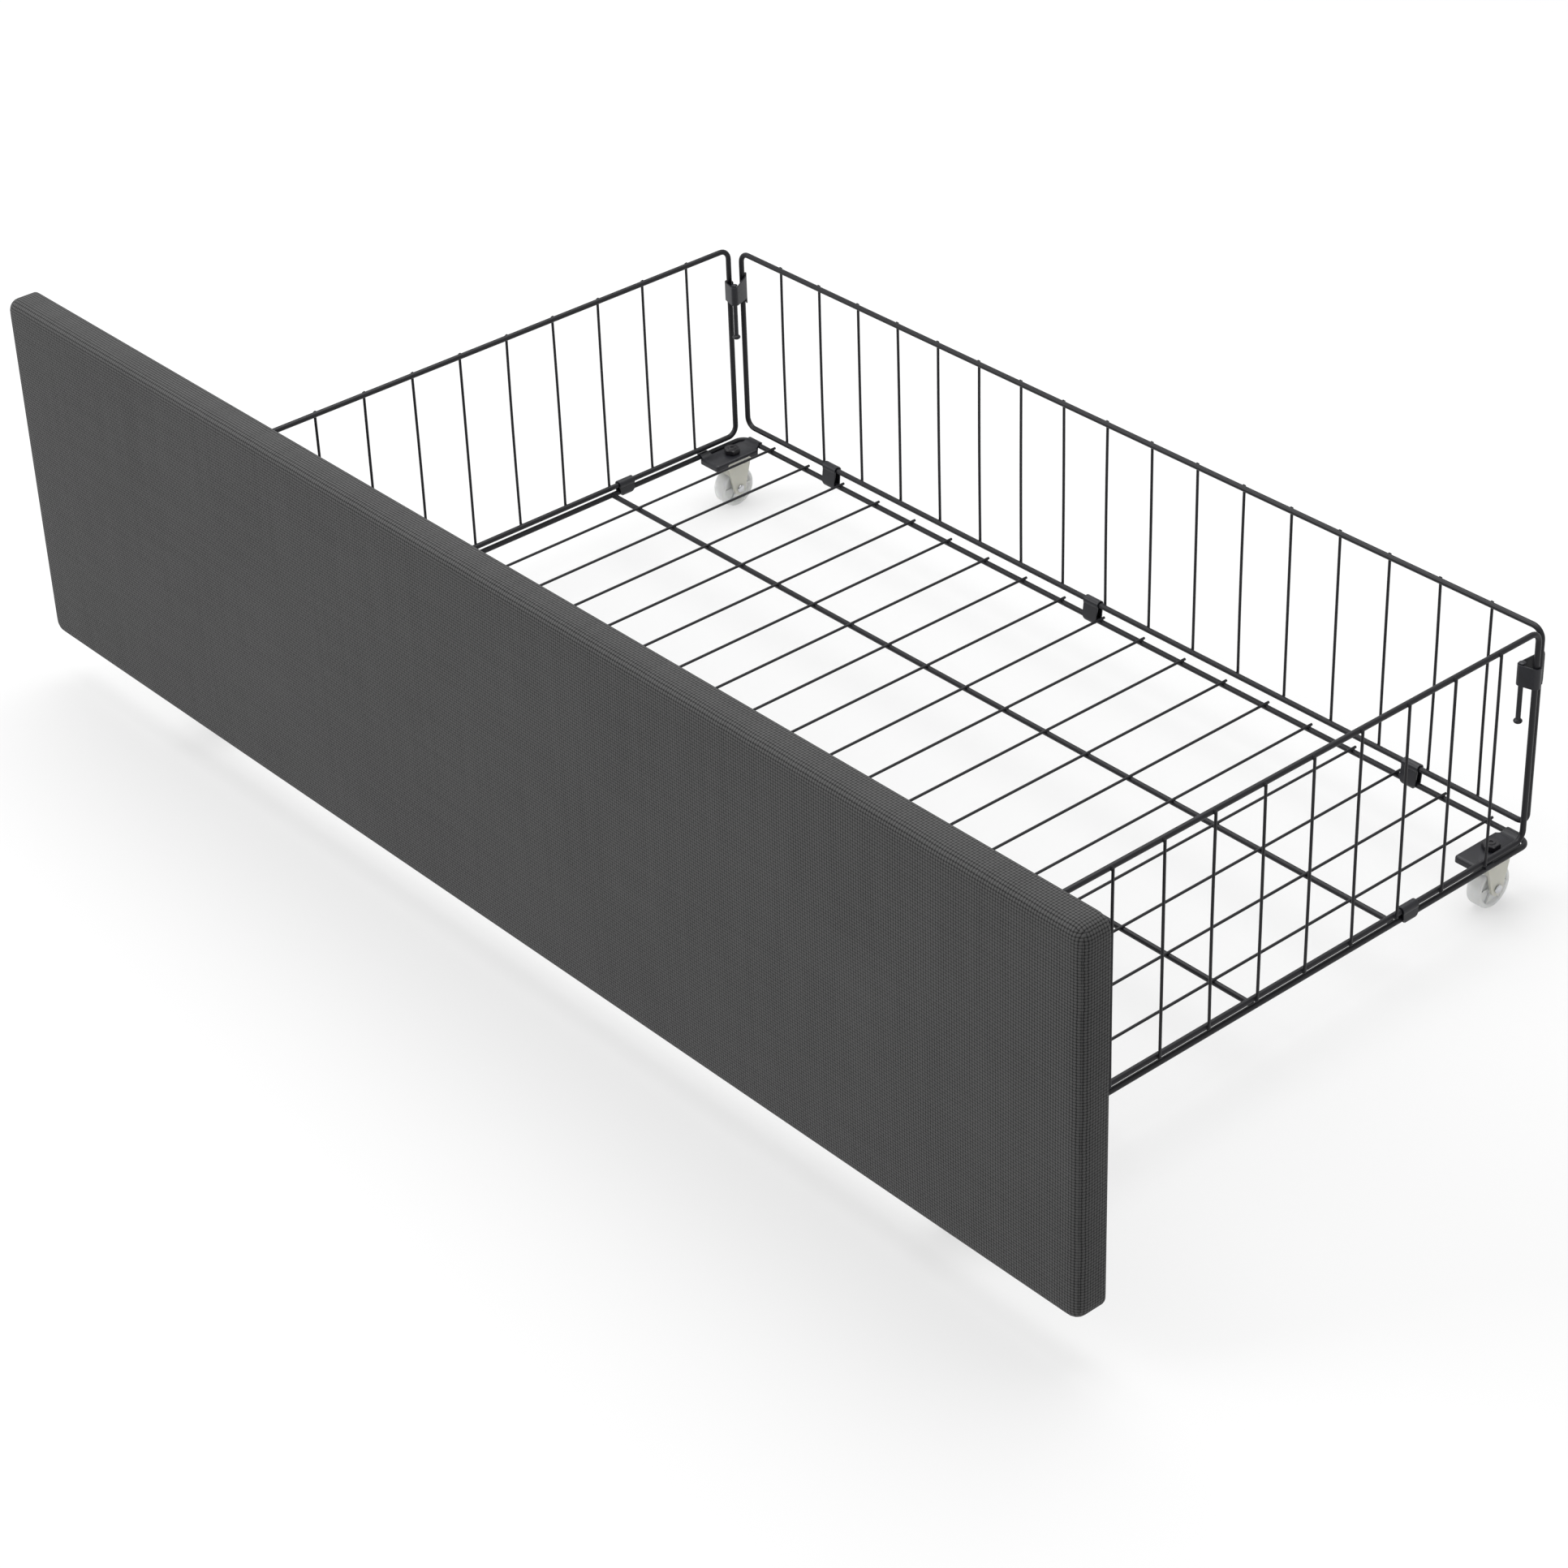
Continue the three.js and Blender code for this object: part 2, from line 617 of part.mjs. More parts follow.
function addCasters() {
  const shapes = {
    plate: [casterPlate(), blackSheet],
    fork: [casterFork(), nylon],
    bolt: [casterBolt(), blackSheet],
    nut: [casterNut(), blackSheet],
    wheel: [casterWheel(), nylon],
    axle: [casterAxle(), bareSteel],
  };
  [['rear', 1, rearY - stemInFromEnd], ['front', -1, frontY + stemInFromEnd]].forEach(([end, flipY, y]) => {
    [['left', -1], ['right', 1]].forEach(([side, flipX]) => {
      Object.entries(shapes).forEach(([part, [geometry, material]]) => {
        const mesh = addPiece(`caster_${part}_${end}_${side}`, mirrored(geometry, flipX, flipY), material);
        mesh.position.set(flipX * stemX, y, baseZ);
      });
    });
  });
}

// ---- front board ------------------------------------------------------------------------------
// Flat pieces are drawn as seen from the front and drawn out backwards, then stood at frontPanelY
// less the given distance.
function slab(width, height, radius, back, front, edgeRound = 0) {
  const depth = front - back;
  const options = edgeRound
    ? {
      depth: depth - 2 * edgeRound,
      bevelEnabled: true,
      bevelSize: edgeRound,
      bevelOffset: -edgeRound,
      bevelThickness: edgeRound,
      bevelSegments: 3,
    }
    : { depth, bevelEnabled: false };
  const solid = new THREE.ExtrudeGeometry(roundedRectangle(width, height, radius), options);
  return solid.translate(0, 0, back + edgeRound).rotateX(Math.PI / 2).translate(0, frontPanelY, boardMidZ);
}

const strapPlaces = [
  [-(topStrapGap + 0.5) * uprightPitch, backPanelHeight],
  [(topStrapGap + 0.5) * uprightPitch, backPanelHeight],
  [-(bottomStrapGap + 0.5) * uprightPitch, 0],
  [(bottomStrapGap + 0.5) * uprightPitch, 0],
].map(([x, rise]) => new THREE.Vector3(x, frontPanelY, baseZ + endHingeRise + rise));

// Rods along the screws' lines, for the screws' holes.
function screwHoles(radius) {
  return strapPlaces.map((place) => {
    const from = 0;
    const to = coreBack + screwBite + gap;
    const tool = cylinder(radius, to - from, 10);
    return tool.translate(place.x, place.y - (from + to) / 2, place.z + strapScrewRise);
  });
}

function addFrontBoard() {
  const inner = 2 * fabricThickness;
  const shell = slab(boardLength, boardHeight, boardCornerRadius, returnBack, boardFront, boardEdgeRound);
  const pocket = slab(
    boardLength - inner, boardHeight - inner, boardCornerRadius - fabricThickness,
    returnBack + fabricThickness, boardFront - fabricThickness, boardEdgeRound - fabricThickness,
  );
  const mouth = slab(
    boardLength - 2 * fabricReturn, boardHeight - 2 * fabricReturn, boardCornerRadius,
    returnBack - gap, coreBack,
  );
  addPiece('front_board_cover', cut(shell, [pocket, mouth]), charcoalFabric);
  const inset = inner + 2 * gap;
  const core = slab(
    boardLength - inset, boardHeight - inset, boardCornerRadius - inset / 2, coreBack, coreFront,
    boardEdgeRound - fabricThickness,
  );
  addPiece('front_board_core', cut(core, screwHoles(screwDiameter / 2 + gap)), fibreboard);
  const foamInset = inset + 2 * boardEdgeRound;
  addPiece('front_board_foam', slab(
    boardLength - foamInset, boardHeight - foamInset, boardCornerRadius - foamInset / 2, foamBack, foamFront,
  ), foam);
  const sheet = slab(
    boardLength - 2 * liningInset, boardHeight - 2 * liningInset, boardCornerRadius - liningInset / 2,
    panelToBoard, liningFront,
  );
  addPiece('front_board_lining', cut(sheet, screwHoles(screwDiameter / 2 + gap)), lining);
}

// Straps that hold the front panel's wires to the board, drawn with the wire at the origin,
// +X towards the board and +Y up.
function boardStrap() {
  const tab = panelToBoard - gap - sheetThickness / 2;
  const middle = [
    ...arc(0, 0, sheetRadius, -50, -270, 9),
    new THREE.Vector2(tab, sheetRadius + strapOffsetRise),
    new THREE.Vector2(tab, strapTabHeight),
  ];
  const strip = bentSheet(middle, clipWidth).translate(0, 0, -clipWidth / 2);
  const hole = cylinder(screwDiameter / 2 + gap, 6, 10).rotateZ(Math.PI / 2);
  return cut(strip, [hole.translate(tab, strapScrewRise, 0)]);
}

function boardScrew() {
  const seat = panelToBoard - 2 * gap - sheetThickness;
  const radius = screwDiameter / 2;
  const profile = [
    new THREE.Vector2(0, seat - screwHeadHeight),
    new THREE.Vector2(screwHeadRadius * 0.7, seat - screwHeadHeight * 0.9),
    new THREE.Vector2(screwHeadRadius, seat - screwHeadHeight * 0.4),
    new THREE.Vector2(screwHeadRadius, seat),
    new THREE.Vector2(radius, seat),
    new THREE.Vector2(radius, coreBack + screwBite - screwPoint),
    new THREE.Vector2(0, coreBack + screwBite),
  ];
  return new THREE.LatheGeometry(profile, 10).rotateX(Math.PI);
}

function addStraps() {
  const strap = boardStrap();
  const screw = boardScrew();
  strapPlaces.forEach((place, i) => {
    addUpright(`board_strap_${i + 1}`, strap, blackSheet, place.x, place.y, place.z, -Math.PI / 2);
    const mesh = addPiece(`board_screw_${i + 1}`, screw, bareSteel);
    mesh.position.set(place.x, place.y, place.z + strapScrewRise);
  });
}

addPiece('base_grid', baseGrid(), blackWire);
addPanels();
addHingeClips();
addLatches();
addCasters();
addFrontBoard();
addStraps();

export default object;
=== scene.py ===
"""Roll-out under-bed drawer: an upholstered front board on a folding wire basket with four
rigid casters. Metres, +Z up, the board facing -Y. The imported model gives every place."""
import json
import math
import random

import bmesh
import bpy
from mathutils import Matrix, Vector


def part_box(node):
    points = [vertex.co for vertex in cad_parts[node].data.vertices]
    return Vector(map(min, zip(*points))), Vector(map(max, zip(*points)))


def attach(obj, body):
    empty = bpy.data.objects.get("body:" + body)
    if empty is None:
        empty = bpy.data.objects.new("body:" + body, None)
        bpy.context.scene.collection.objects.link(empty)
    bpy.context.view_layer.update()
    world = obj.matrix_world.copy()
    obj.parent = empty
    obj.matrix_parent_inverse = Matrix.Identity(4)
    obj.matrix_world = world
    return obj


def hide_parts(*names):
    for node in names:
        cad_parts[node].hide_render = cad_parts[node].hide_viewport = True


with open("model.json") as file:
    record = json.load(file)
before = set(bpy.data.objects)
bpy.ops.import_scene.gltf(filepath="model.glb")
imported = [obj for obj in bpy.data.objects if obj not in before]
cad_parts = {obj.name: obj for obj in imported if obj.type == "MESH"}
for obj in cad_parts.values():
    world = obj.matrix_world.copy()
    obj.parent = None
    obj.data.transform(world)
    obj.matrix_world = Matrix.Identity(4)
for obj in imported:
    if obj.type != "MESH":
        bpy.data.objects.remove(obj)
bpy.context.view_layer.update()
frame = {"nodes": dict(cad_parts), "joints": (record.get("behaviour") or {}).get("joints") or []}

# ---- the maker's sizes -------------------------------------------------------------------------
MM = 0.001
THICK_WIRE = 3.6 * MM
THIN_WIRE = 1.8 * MM
WELD_SINK = 0.4 * MM  # a thin wire is pressed this far into a thick one
WIRE_BEND = 7 * MM
PANEL_OVERHANG = 0.8 * MM  # uprights past the centre of a panel's top and bottom wires
FLOOR_OVERHANG = 2.8 * MM  # cross wires past the centre of the end wires
BEARER_LIFT = 0.12 * MM
CROSS_WIRE_INSET = 30 * MM
CROSS_WIRES = 19
BEARERS = 3
BEARER_REAR_GAP = 117.5 * MM
SIDE_UPRIGHTS = 11
SIDE_UPRIGHT_REAR_GAP = 35 * MM
SIDE_UPRIGHT_FRONT_GAP = 31 * MM
END_UPRIGHTS = 17

SHEET = 1.0 * MM  # pressed steel of the clips, latches and straps
SHEET_EDGE = 0.16 * MM  # broken edge left by the press tool
WRAP_GAP = 0.3 * MM
CLIP_CHAMFER = 3.2 * MM

LATCH_HEIGHT = 13.6 * MM
LATCH_DOME = 4.8 * MM
LATCH_TAB = 3.8 * MM
PIN_DIAMETER = 3.0 * MM
PIN_DROP = 26 * MM
PIN_HEAD = 2.7 * MM

PLATE_SHEET = 1.3 * MM
PLATE_BEND = 1.7 * MM
FORK_TOP = 2.5 * MM
FORK_LEG = 2.0 * MM
NUT_ACROSS_FLATS = 10 * MM
NUT_HEIGHT = 3.4 * MM

BOARD_CORNER = 9 * MM
BOARD_EDGE = 7 * MM
BOARD_BACK_EDGE = 1.4 * MM
BOARD_CROWN = 1.0 * MM
YARN = 1.8 * MM  # yarn to yarn in the cover's weave
DUST_CLOTH_DOT = 1.1 * MM  # dot to dot in the lining's pressed pattern

# ---- places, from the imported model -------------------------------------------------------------
joint_place = {j["name"]: Vector(j["pos_m"]) for j in frame["joints"]}
GRID_OFFSET = THICK_WIRE / 2 + THIN_WIRE / 2 - WELD_SINK
EIGHT_SIDED = math.cos(math.pi / 8)  # the solids' thick wires are eight-sided, flats outermost
base_low, base_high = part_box("base_grid")
side_x = joint_place["right_fold"].x
rear_y = base_high.y - FLOOR_OVERHANG
front_y = base_low.y + FLOOR_OVERHANG
base_z = base_low.z + THICK_WIRE / 2 * EIGHT_SIDED

UP = Vector((0, 0, 1))
X = Vector((1, 0, 0))
Y = Vector((0, 1, 0))


# ---- finishes ----------------------------------------------------------------------------------
class Value:
    """A number that varies over a surface. Sums on it add the finish's maths nodes."""

    def __init__(self, finish, socket):
        self.finish = finish
        self.socket = socket

    def maths(self, operation, *terms):
        node = self.finish.add("ShaderNodeMath", {"operation": operation}, dict(enumerate(terms)))
        return Value(self.finish, node.outputs[0])

    def __add__(self, other):
        return self.maths("ADD", self, other)

    __radd__ = __add__

    def __sub__(self, other):
        return self.maths("SUBTRACT", self, other)

    def __rsub__(self, other):
        return self.maths("SUBTRACT", other, self)

    def __mul__(self, other):
        return self.maths("MULTIPLY", self, other)

    __rmul__ = __mul__

    def __truediv__(self, other):
        return self.maths("DIVIDE", self, other)

    def __pow__(self, other):
        return self.maths("POWER", self, other)

    def sine(self):
        return self.maths("SINE", self)

    def size(self):
        return self.maths("ABSOLUTE", self)

    def floor(self):
        return self.maths("FLOOR", self)

    def over(self, other):
        return self.maths("GREATER_THAN", self, other)

    def most(self, other):
        return self.maths("MAXIMUM", self, other)

    def odd(self):
        """One on every second whole step, nought between."""
        return self.maths("FLOORED_MODULO", self.floor(), 2.0)

    def ramp(self, low, high):
        """Nought below low, one above high, even between."""
        node = self.finish.add(
            "ShaderNodeMapRange", {"clamp": True}, {"Value": self, "From Min": low, "From Max": high}
        )
        return Value(self.finish, node.outputs[0])


class Finish:
    """A material being made: one principled shader, and the nodes that feed it."""

    def __init__(self, name, color, roughness, **fixed):
        self.material = bpy.data.materials.new(name)
        self.material.use_nodes = True
        self.tree = self.material.node_tree
        self.shader = self.tree.nodes["Principled BSDF"]
        self.shader.inputs["Base Color"].default_value = (*color, 1)
        self.shader.inputs["Roughness"].default_value = roughness
        self.material.diffuse_color = (*color, 1)
        for socket, value in fixed.items():
            self.shader.inputs[socket.replace("_", " ")].default_value = value

    def add(self, kind, settings, inputs):
        node = self.tree.nodes.new(kind)
        for key, value in settings.items():
            setattr(node, key, value)
        for key, value in inputs.items():
            self.feed(node.inputs[key], value)
        return node

    def feed(self, socket, value):
        if isinstance(value, Value):
            self.tree.links.new(value.socket, socket)
        else:
            socket.default_value = value

    def place(self):
        """The point on the piece, in metres."""
        return Value(self, self.add("ShaderNodeTexCoord", {}, {}).outputs["Object"])

    def facing(self):
        return Value(self, self.add("ShaderNodeTexCoord", {}, {}).outputs["Normal"])

    def parts(self, vector):
        node = self.add("ShaderNodeSeparateXYZ", {}, {0: vector})
        return [Value(self, out) for out in node.outputs]

    def join(self, x, y, z=0.0):
        node = self.add("ShaderNodeCombineXYZ", {}, {0: x, 1: y, 2: z})
        return Value(self, node.outputs[0])

    def noise(self, place, scale, detail=2.0, roughness=0.5):
        node = self.add(
            "ShaderNodeTexNoise", {},
            {"Vector": place, "Scale": scale, "Detail": detail, "Roughness": roughness},
        )
        return Value(self, node.outputs["Fac"])

    def mix(self, amount, low, high):
        """A colour between two colours."""
        node = self.add("ShaderNodeMix", {"data_type": "RGBA"}, {0: amount, 6: low, 7: high})
        return Value(self, node.outputs[2])

    def between(self, amount, low, high):
        return amount * (high - low) + low

    def bump(self, height, depth, strength=1.0):
        """Raises the surface by height times depth, in metres."""
        node = self.add("ShaderNodeBump", {}, {"Height": height, "Distance": depth, "Strength": strength})
        self.feed(self.shader.inputs["Normal"], Value(self, node.outputs["Normal"]))

    def color(self, value):
        self.feed(self.shader.inputs["Base Color"], value)

    def roughness(self, value):
        self.feed(self.shader.inputs["Roughness"], value)


def shade(red, green, blue):
    """A colour from its 0 to 255 values."""
    shares = [value / 255 for value in (red, green, blue)]
    return (*[s / 12.92 if s <= 0.04 else ((s + 0.055) / 1.055) ** 2.4 for s in shares], 1.0)


def wire_powder_coat():
    """Black satin powder coat on wire: a faint orange peel, and thinner, greyer spots."""
    f = Finish("wire_powder_coat", shade(22, 22, 26)[:3], 0.42, Specular_IOR_Level=0.3)
    place = f.place()
    peel = f.noise(place, 1400, 3)
    cloud = f.noise(place, 60, 3)
    rub = f.noise(place, 420, 4, 0.65).ramp(0.62, 0.8)
    f.color(f.mix((cloud * 0.6 + rub * 0.4).ramp(0.2, 0.8), shade(13, 13, 17), shade(27, 27, 33)))
    f.roughness(f.between(cloud, 0.36, 0.52))
    f.bump(peel, 0.00005, 0.6)
    return f.material


def pressed_steel_coat(name="pressed_steel_coat", dark=(13, 14, 19), light=(30, 31, 40)):
    """Black paint on pressed steel, a shade bluer and smoother than the wire's."""
    f = Finish(name, shade(*dark)[:3], 0.38, Specular_IOR_Level=0.4)
    place = f.place()
    grain = f.noise(place, 1800, 3, 0.6)
    cloud = f.noise(place, 130, 4, 0.6)
    scuff = f.noise(place, 700, 5, 0.7).ramp(0.6, 0.82)
    f.color(f.mix((cloud * 0.7 + scuff * 0.45).ramp(0.25, 0.95), shade(*dark), shade(*light)))
    f.roughness(f.between(grain, 0.3, 0.5))
    f.bump(grain, 0.00004, 0.6)
    return f.material


def zinc_plate():
    """Bright zinc on screws and axles, with turning marks."""
    f = Finish("zinc_plate", shade(196, 197, 200)[:3], 0.24, Metallic=1.0)
    place = f.place()
    cloud = f.noise(place, 350, 4, 0.6)
    scratch = f.noise(place, 2600, 2)
    f.color(f.mix(cloud, shade(168, 169, 172), shade(220, 221, 223)))
    f.roughness(f.between(cloud, 0.16, 0.34))
    f.bump(scratch, 0.00002, 0.5)
    return f.material


def milky_nylon(name, tint, seep):
    """Natural nylon, cloudy and a little see-through, with flow marks from the mould."""
    f = Finish(name, shade(*tint)[:3], 0.36, Transmission_Weight=seep, IOR=1.45,
               Subsurface_Weight=0.45, Subsurface_Scale=0.004)
    f.shader.inputs["Subsurface Radius"].default_value = (1.0, 0.95, 0.85)
    place = f.place()
    flow = f.noise(place, 160, 4, 0.6)
    fine = f.noise(place, 1100, 2)
    f.color(f.mix(flow, shade(*[c - 14 for c in tint]), shade(*tint)))
    f.roughness(f.between(flow, 0.28, 0.46))
    f.bump(fine, 0.00004, 0.5)
    return f.material


def woven_cover():
    """Charcoal plain weave: each yarn goes over one and under one. Painted shade darkens the hollows between
    yarns to near black at each corner where four yarns meet, and heathered yarns are of slightly different
    greys."""
    f = Finish("woven_cover", shade(58, 58, 59)[:3], 0.92, Specular_IOR_Level=0.15,
               Sheen_Weight=0.08, Sheen_Roughness=0.5)
    x, y, z = f.parts(f.place())
    face_x, _, face_z = f.parts(f.facing())
    ends = face_x.size().over(0.72)
    tops = face_z.size().over(0.72)
    across = (x * (1 - ends) + y * ends) / YARN
    along = (z * (1 - tops) + y * tops) / YARN
    wander = f.noise(f.place(), 45, 2)
    across = across + wander * 0.5
    along = along + wander * 0.4
    # The rounded tops of the two sets of yarns, and where each one is uppermost.
    upright = (across * math.pi).sine().size()
    level = (along * math.pi).sine().size()
    checker = (across.floor() + along.floor()).odd()
    upright_height = upright ** 0.6 * (checker * 0.55 + 0.45 * level)
    level_height = level ** 0.6 * ((1 - checker) * 0.55 + 0.45 * upright)
    height = upright_height.most(level_height)
    fibres = f.noise(f.join(x * 3, y * 3, z), 2600, 3, 0.7)
    yarn_tint = f.noise(f.join(across.floor() * 0.37, along.floor() * 0.02), 1.0, 0)
    cross_tint = f.noise(f.join(across.floor() * 0.02, along.floor() * 0.41), 1.0, 0)
    heather = checker * yarn_tint + (1 - checker) * cross_tint
    patch = f.noise(f.place(), 14, 3)
    # Painted shade and highlight: the colour runs from near black in the hollows between yarns to lighter on
    # the yarns' crowns, following the yarn height. The heather, fibres and patches are the yarns' own tone.
    light = height.ramp(0.1, 0.8) * 0.72 + heather * 0.16 + fibres * 0.26 + patch * 0.1
    f.color(f.mix(light.ramp(0.35, 1.0), shade(3, 3, 4), shade(71, 71, 71)))
    f.roughness(f.between(fibres, 0.84, 1.0))
    f.bump(height + fibres * 0.18, 0.00030, 0.9)
    return f.material


def dust_cloth():
    """Thin black non-woven cloth, pressed all over with small dots."""
    f = Finish("dust_cloth", shade(30, 30, 31)[:3], 0.9, Specular_IOR_Level=0.25, Sheen_Weight=0.15)
    x, y, z = f.parts(f.place())
    rows = z / DUST_CLOTH_DOT
    columns = x / DUST_CLOTH_DOT + rows.floor().odd() * 0.5
    dots = (columns * math.pi).sine().size() * (rows * math.pi).sine().size()
    pressed = dots.ramp(0.6, 0.85)
    fibres = f.noise(f.join(x, y, z * 0.4), 1500, 4, 0.75)
    cloud = f.noise(f.place(), 26, 4, 0.6)
    f.color(f.mix((fibres * 0.5 + cloud * 0.35 + (1 - pressed) * 0.3).ramp(0.2, 0.95),
                  shade(17, 17, 18), shade(47, 47, 49)))
    f.roughness(f.between(pressed, 0.95, 0.6))
    f.bump(fibres * 0.5 - pressed * 0.8 + cloud * 2.5, 0.00015, 0.8)
    return f.material


def fibreboard_finish():
    """Pressed wood fibre, brown with darker flecks."""
    f = Finish("fibreboard", shade(150, 120, 85)[:3], 0.85)
    place = f.place()
    fleck = f.noise(place, 900, 5, 0.75)
    f.color(f.mix(fleck.ramp(0.3, 0.7), shade(112, 84, 56), shade(172, 142, 104)))
    f.bump(fleck, 0.0001, 0.7)
    return f.material


WIRE_FINISH = wire_powder_coat()
STEEL_FINISH = pressed_steel_coat()
NUT_FINISH = pressed_steel_coat("nut_black_oxide", (14, 13, 17), (32, 29, 34))
ZINC_FINISH = zinc_plate()
FORK_FINISH = milky_nylon("fork_nylon", (226, 225, 214), 0.35)
WHEEL_FINISH = milky_nylon("wheel_nylon", (240, 241, 240), 0.4)
COVER_FINISH = woven_cover()
LINING_FINISH = dust_cloth()
CORE_FINISH = fibreboard_finish()


# ---- mesh tools --------------------------------------------------------------------------------
def flat_arc(centre, radius, start, end, steps):
    """Points on an arc in a plane, from start to end in degrees."""
    points = []
    for i in range(steps + 1):
        angle = math.radians(start + (end - start) * i / steps)
        points.append(Vector((centre[0] + radius * math.cos(angle), centre[1] + radius * math.sin(angle))))
    return points


def rounded_rectangle(low, high, radius, steps=8):
    """A closed outline, anticlockwise from the lower right corner."""
    right, left = high[0] - radius, low[0] + radius
    top, bottom = high[1] - radius, low[1] + radius
    return (
        flat_arc((right, bottom), radius, -90, 0, steps)
        + flat_arc((right, top), radius, 0, 90, steps)
        + flat_arc((left, top), radius, 90, 180, steps)
        + flat_arc((left, bottom), radius, 180, 270, steps)
    )


def skin(bm, rings, closed=False):
    """Joins ring to ring with quads. An open skin gets a face over each end."""
    rows = [[bm.verts.new(point) for point in ring] for ring in rings]
    for row, following in zip(rows, rows[1:] + rows[:1] if closed else rows[1:]):
        for i, corner in enumerate(row):
            j = (i + 1) % len(row)
            bm.faces.new((corner, row[j], following[j], following[i]))
    if not closed:
        bm.faces.new(rows[0][::-1])
        bm.faces.new(rows[-1])


def ring(centre, tangent, normal, radius, sides):
    side = tangent.cross(normal).normalized()
    over = side.cross(tangent).normalized()
    angles = [2 * math.pi * i / sides for i in range(sides)]
    return [centre + radius * (math.cos(a) * side + math.sin(a) * over) for a in angles]


def wire(bm, points, diameter, normal, sides=14, closed=False):
    """Round wire along the points. An open wire's ends are sheared off blunt, with a small round."""
    radius = diameter / 2
    count = len(points)
    if closed:
        rings = [
            ring(here, points[(i + 1) % count] - points[i - 1], normal, radius, sides)
            for i, here in enumerate(points)
        ]
        skin(bm, rings, closed=True)
        return
    first = (points[1] - points[0]).normalized()
    last = (points[-1] - points[-2]).normalized()
    nip = 0.2 * radius
    rings = [
        ring(points[0], first, normal, radius * 0.8, sides),
        ring(points[0] + first * nip, first, normal, radius, sides),
    ]
    for before, here, after in zip(points, points[1:], points[2:]):
        rings.append(ring(here, after - before, normal, radius, sides))
    rings.append(ring(points[-1] - last * nip, last, normal, radius, sides))
    rings.append(ring(points[-1], last, normal, radius * 0.8, sides))
    skin(bm, rings)


def weld(bm, centre, thin_along, thick_along, out):
    """The squeezed metal round a spot weld, a flat bead between the two wires."""
    basis = Matrix.Identity(4)
    for column, vector in enumerate((thin_along * 1.75, thick_along * 1.3, out * 0.8)):
        basis.col[column][:3] = vector * MM
    basis.translation = centre
    bmesh.ops.create_uvsphere(bm, u_segments=12, v_segments=8, radius=1, matrix=basis)


def bowed(start, end, bow, steps=6):
    """A nearly straight wire: hand-fed wire is never quite true."""
    return [start.lerp(end, i / steps) + bow * math.sin(math.pi * i / steps) for i in range(steps + 1)]


def formed_sheet(bm, path, low, high, place, thickness=SHEET, edge=SHEET_EDGE):
    """Bent sheet steel: path is the sheet's middle line in a plane, low and high are its two cut
    edges at each point of the path, and place turns (plane point, height) into a place."""
    rings = []
    for i, here in enumerate(path):
        along = path[min(i + 1, len(path) - 1)] - path[max(i - 1, 0)]
        normal = Vector((-along[1], along[0])).normalized()
        half, trimmed = thickness / 2, thickness / 2 - edge
        section = [
            (half, low[i] + edge), (half, high[i] - edge), (trimmed, high[i]), (-trimmed, high[i]),
            (-half, high[i] - edge), (-half, low[i] + edge), (-trimmed, low[i]), (trimmed, low[i]),
        ]
        rings.append([place(here + normal * offset, height) for offset, height in section])
    skin(bm, rings)


def lathe(bm, profile, place, sides=32, closed=False):
    """Turns a profile of (radius, height) points. place turns (x, y, height) into a place."""
    rings = []
    for radius, height in profile:
        angles = [2 * math.pi * i / sides for i in range(sides)]
        rings.append([place(radius * math.cos(a), radius * math.sin(a), height) for a in angles])
    skin(bm, rings, closed)


def drawn_out(bm, outline, low, high, place):
    """A flat outline drawn out from low to high."""
    skin(bm, [[place(p, low) for p in outline], [place(p, high) for p in outline]])


def break_edges(bm, width, segments=2, angle=30):
    sharp = [e for e in bm.edges if len(e.link_faces) == 2 and e.calc_face_angle() > math.radians(angle)]
    bmesh.ops.bevel(bm, geom=sharp, offset=width, segments=segments, profile=0.6, affect="EDGES",
                    clamp_overlap=True)


def make_piece(name, bm, finish, body, replaced=(), sharp=38):
    """Turns a mesh into a piece that rides on a body and stands for the solids that it replaces."""
    bmesh.ops.recalc_face_normals(bm, faces=bm.faces)
    mesh = bpy.data.meshes.new(name)
    bm.to_mesh(mesh)
    bm.free()
    mesh.materials.append(finish)
    mesh.shade_smooth()
    mesh.set_sharp_from_angle(angle=math.radians(sharp))
    piece = bpy.data.objects.new(name, mesh)
    bpy.context.scene.collection.objects.link(piece)
    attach(piece, body)
    if replaced:
        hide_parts(*replaced)
    return piece


def combine(first, second, operation):
    """Joins or cuts two closed meshes exactly and gives the result as a new mesh."""
    objects = []
    for bm in (first, second):
        bmesh.ops.recalc_face_normals(bm, faces=bm.faces)
        mesh = bpy.data.meshes.new("blank")
        bm.to_mesh(mesh)
        bm.free()
        blank = bpy.data.objects.new("blank", mesh)
        bpy.context.scene.collection.objects.link(blank)
        objects.append(blank)
    modifier = objects[0].modifiers.new("join", "BOOLEAN")
    modifier.operation = operation
    modifier.solver = "EXACT"
    modifier.object = objects[1]
    bpy.context.view_layer.update()
    shaped = objects[0].evaluated_get(bpy.context.evaluated_depsgraph_get())
    result = bmesh.new()
    result.from_mesh(shaped.to_mesh())
    shaped.to_mesh_clear()
    for blank in objects:
        mesh = blank.data
        bpy.data.objects.remove(blank)
        bpy.data.meshes.remove(mesh)
    return result


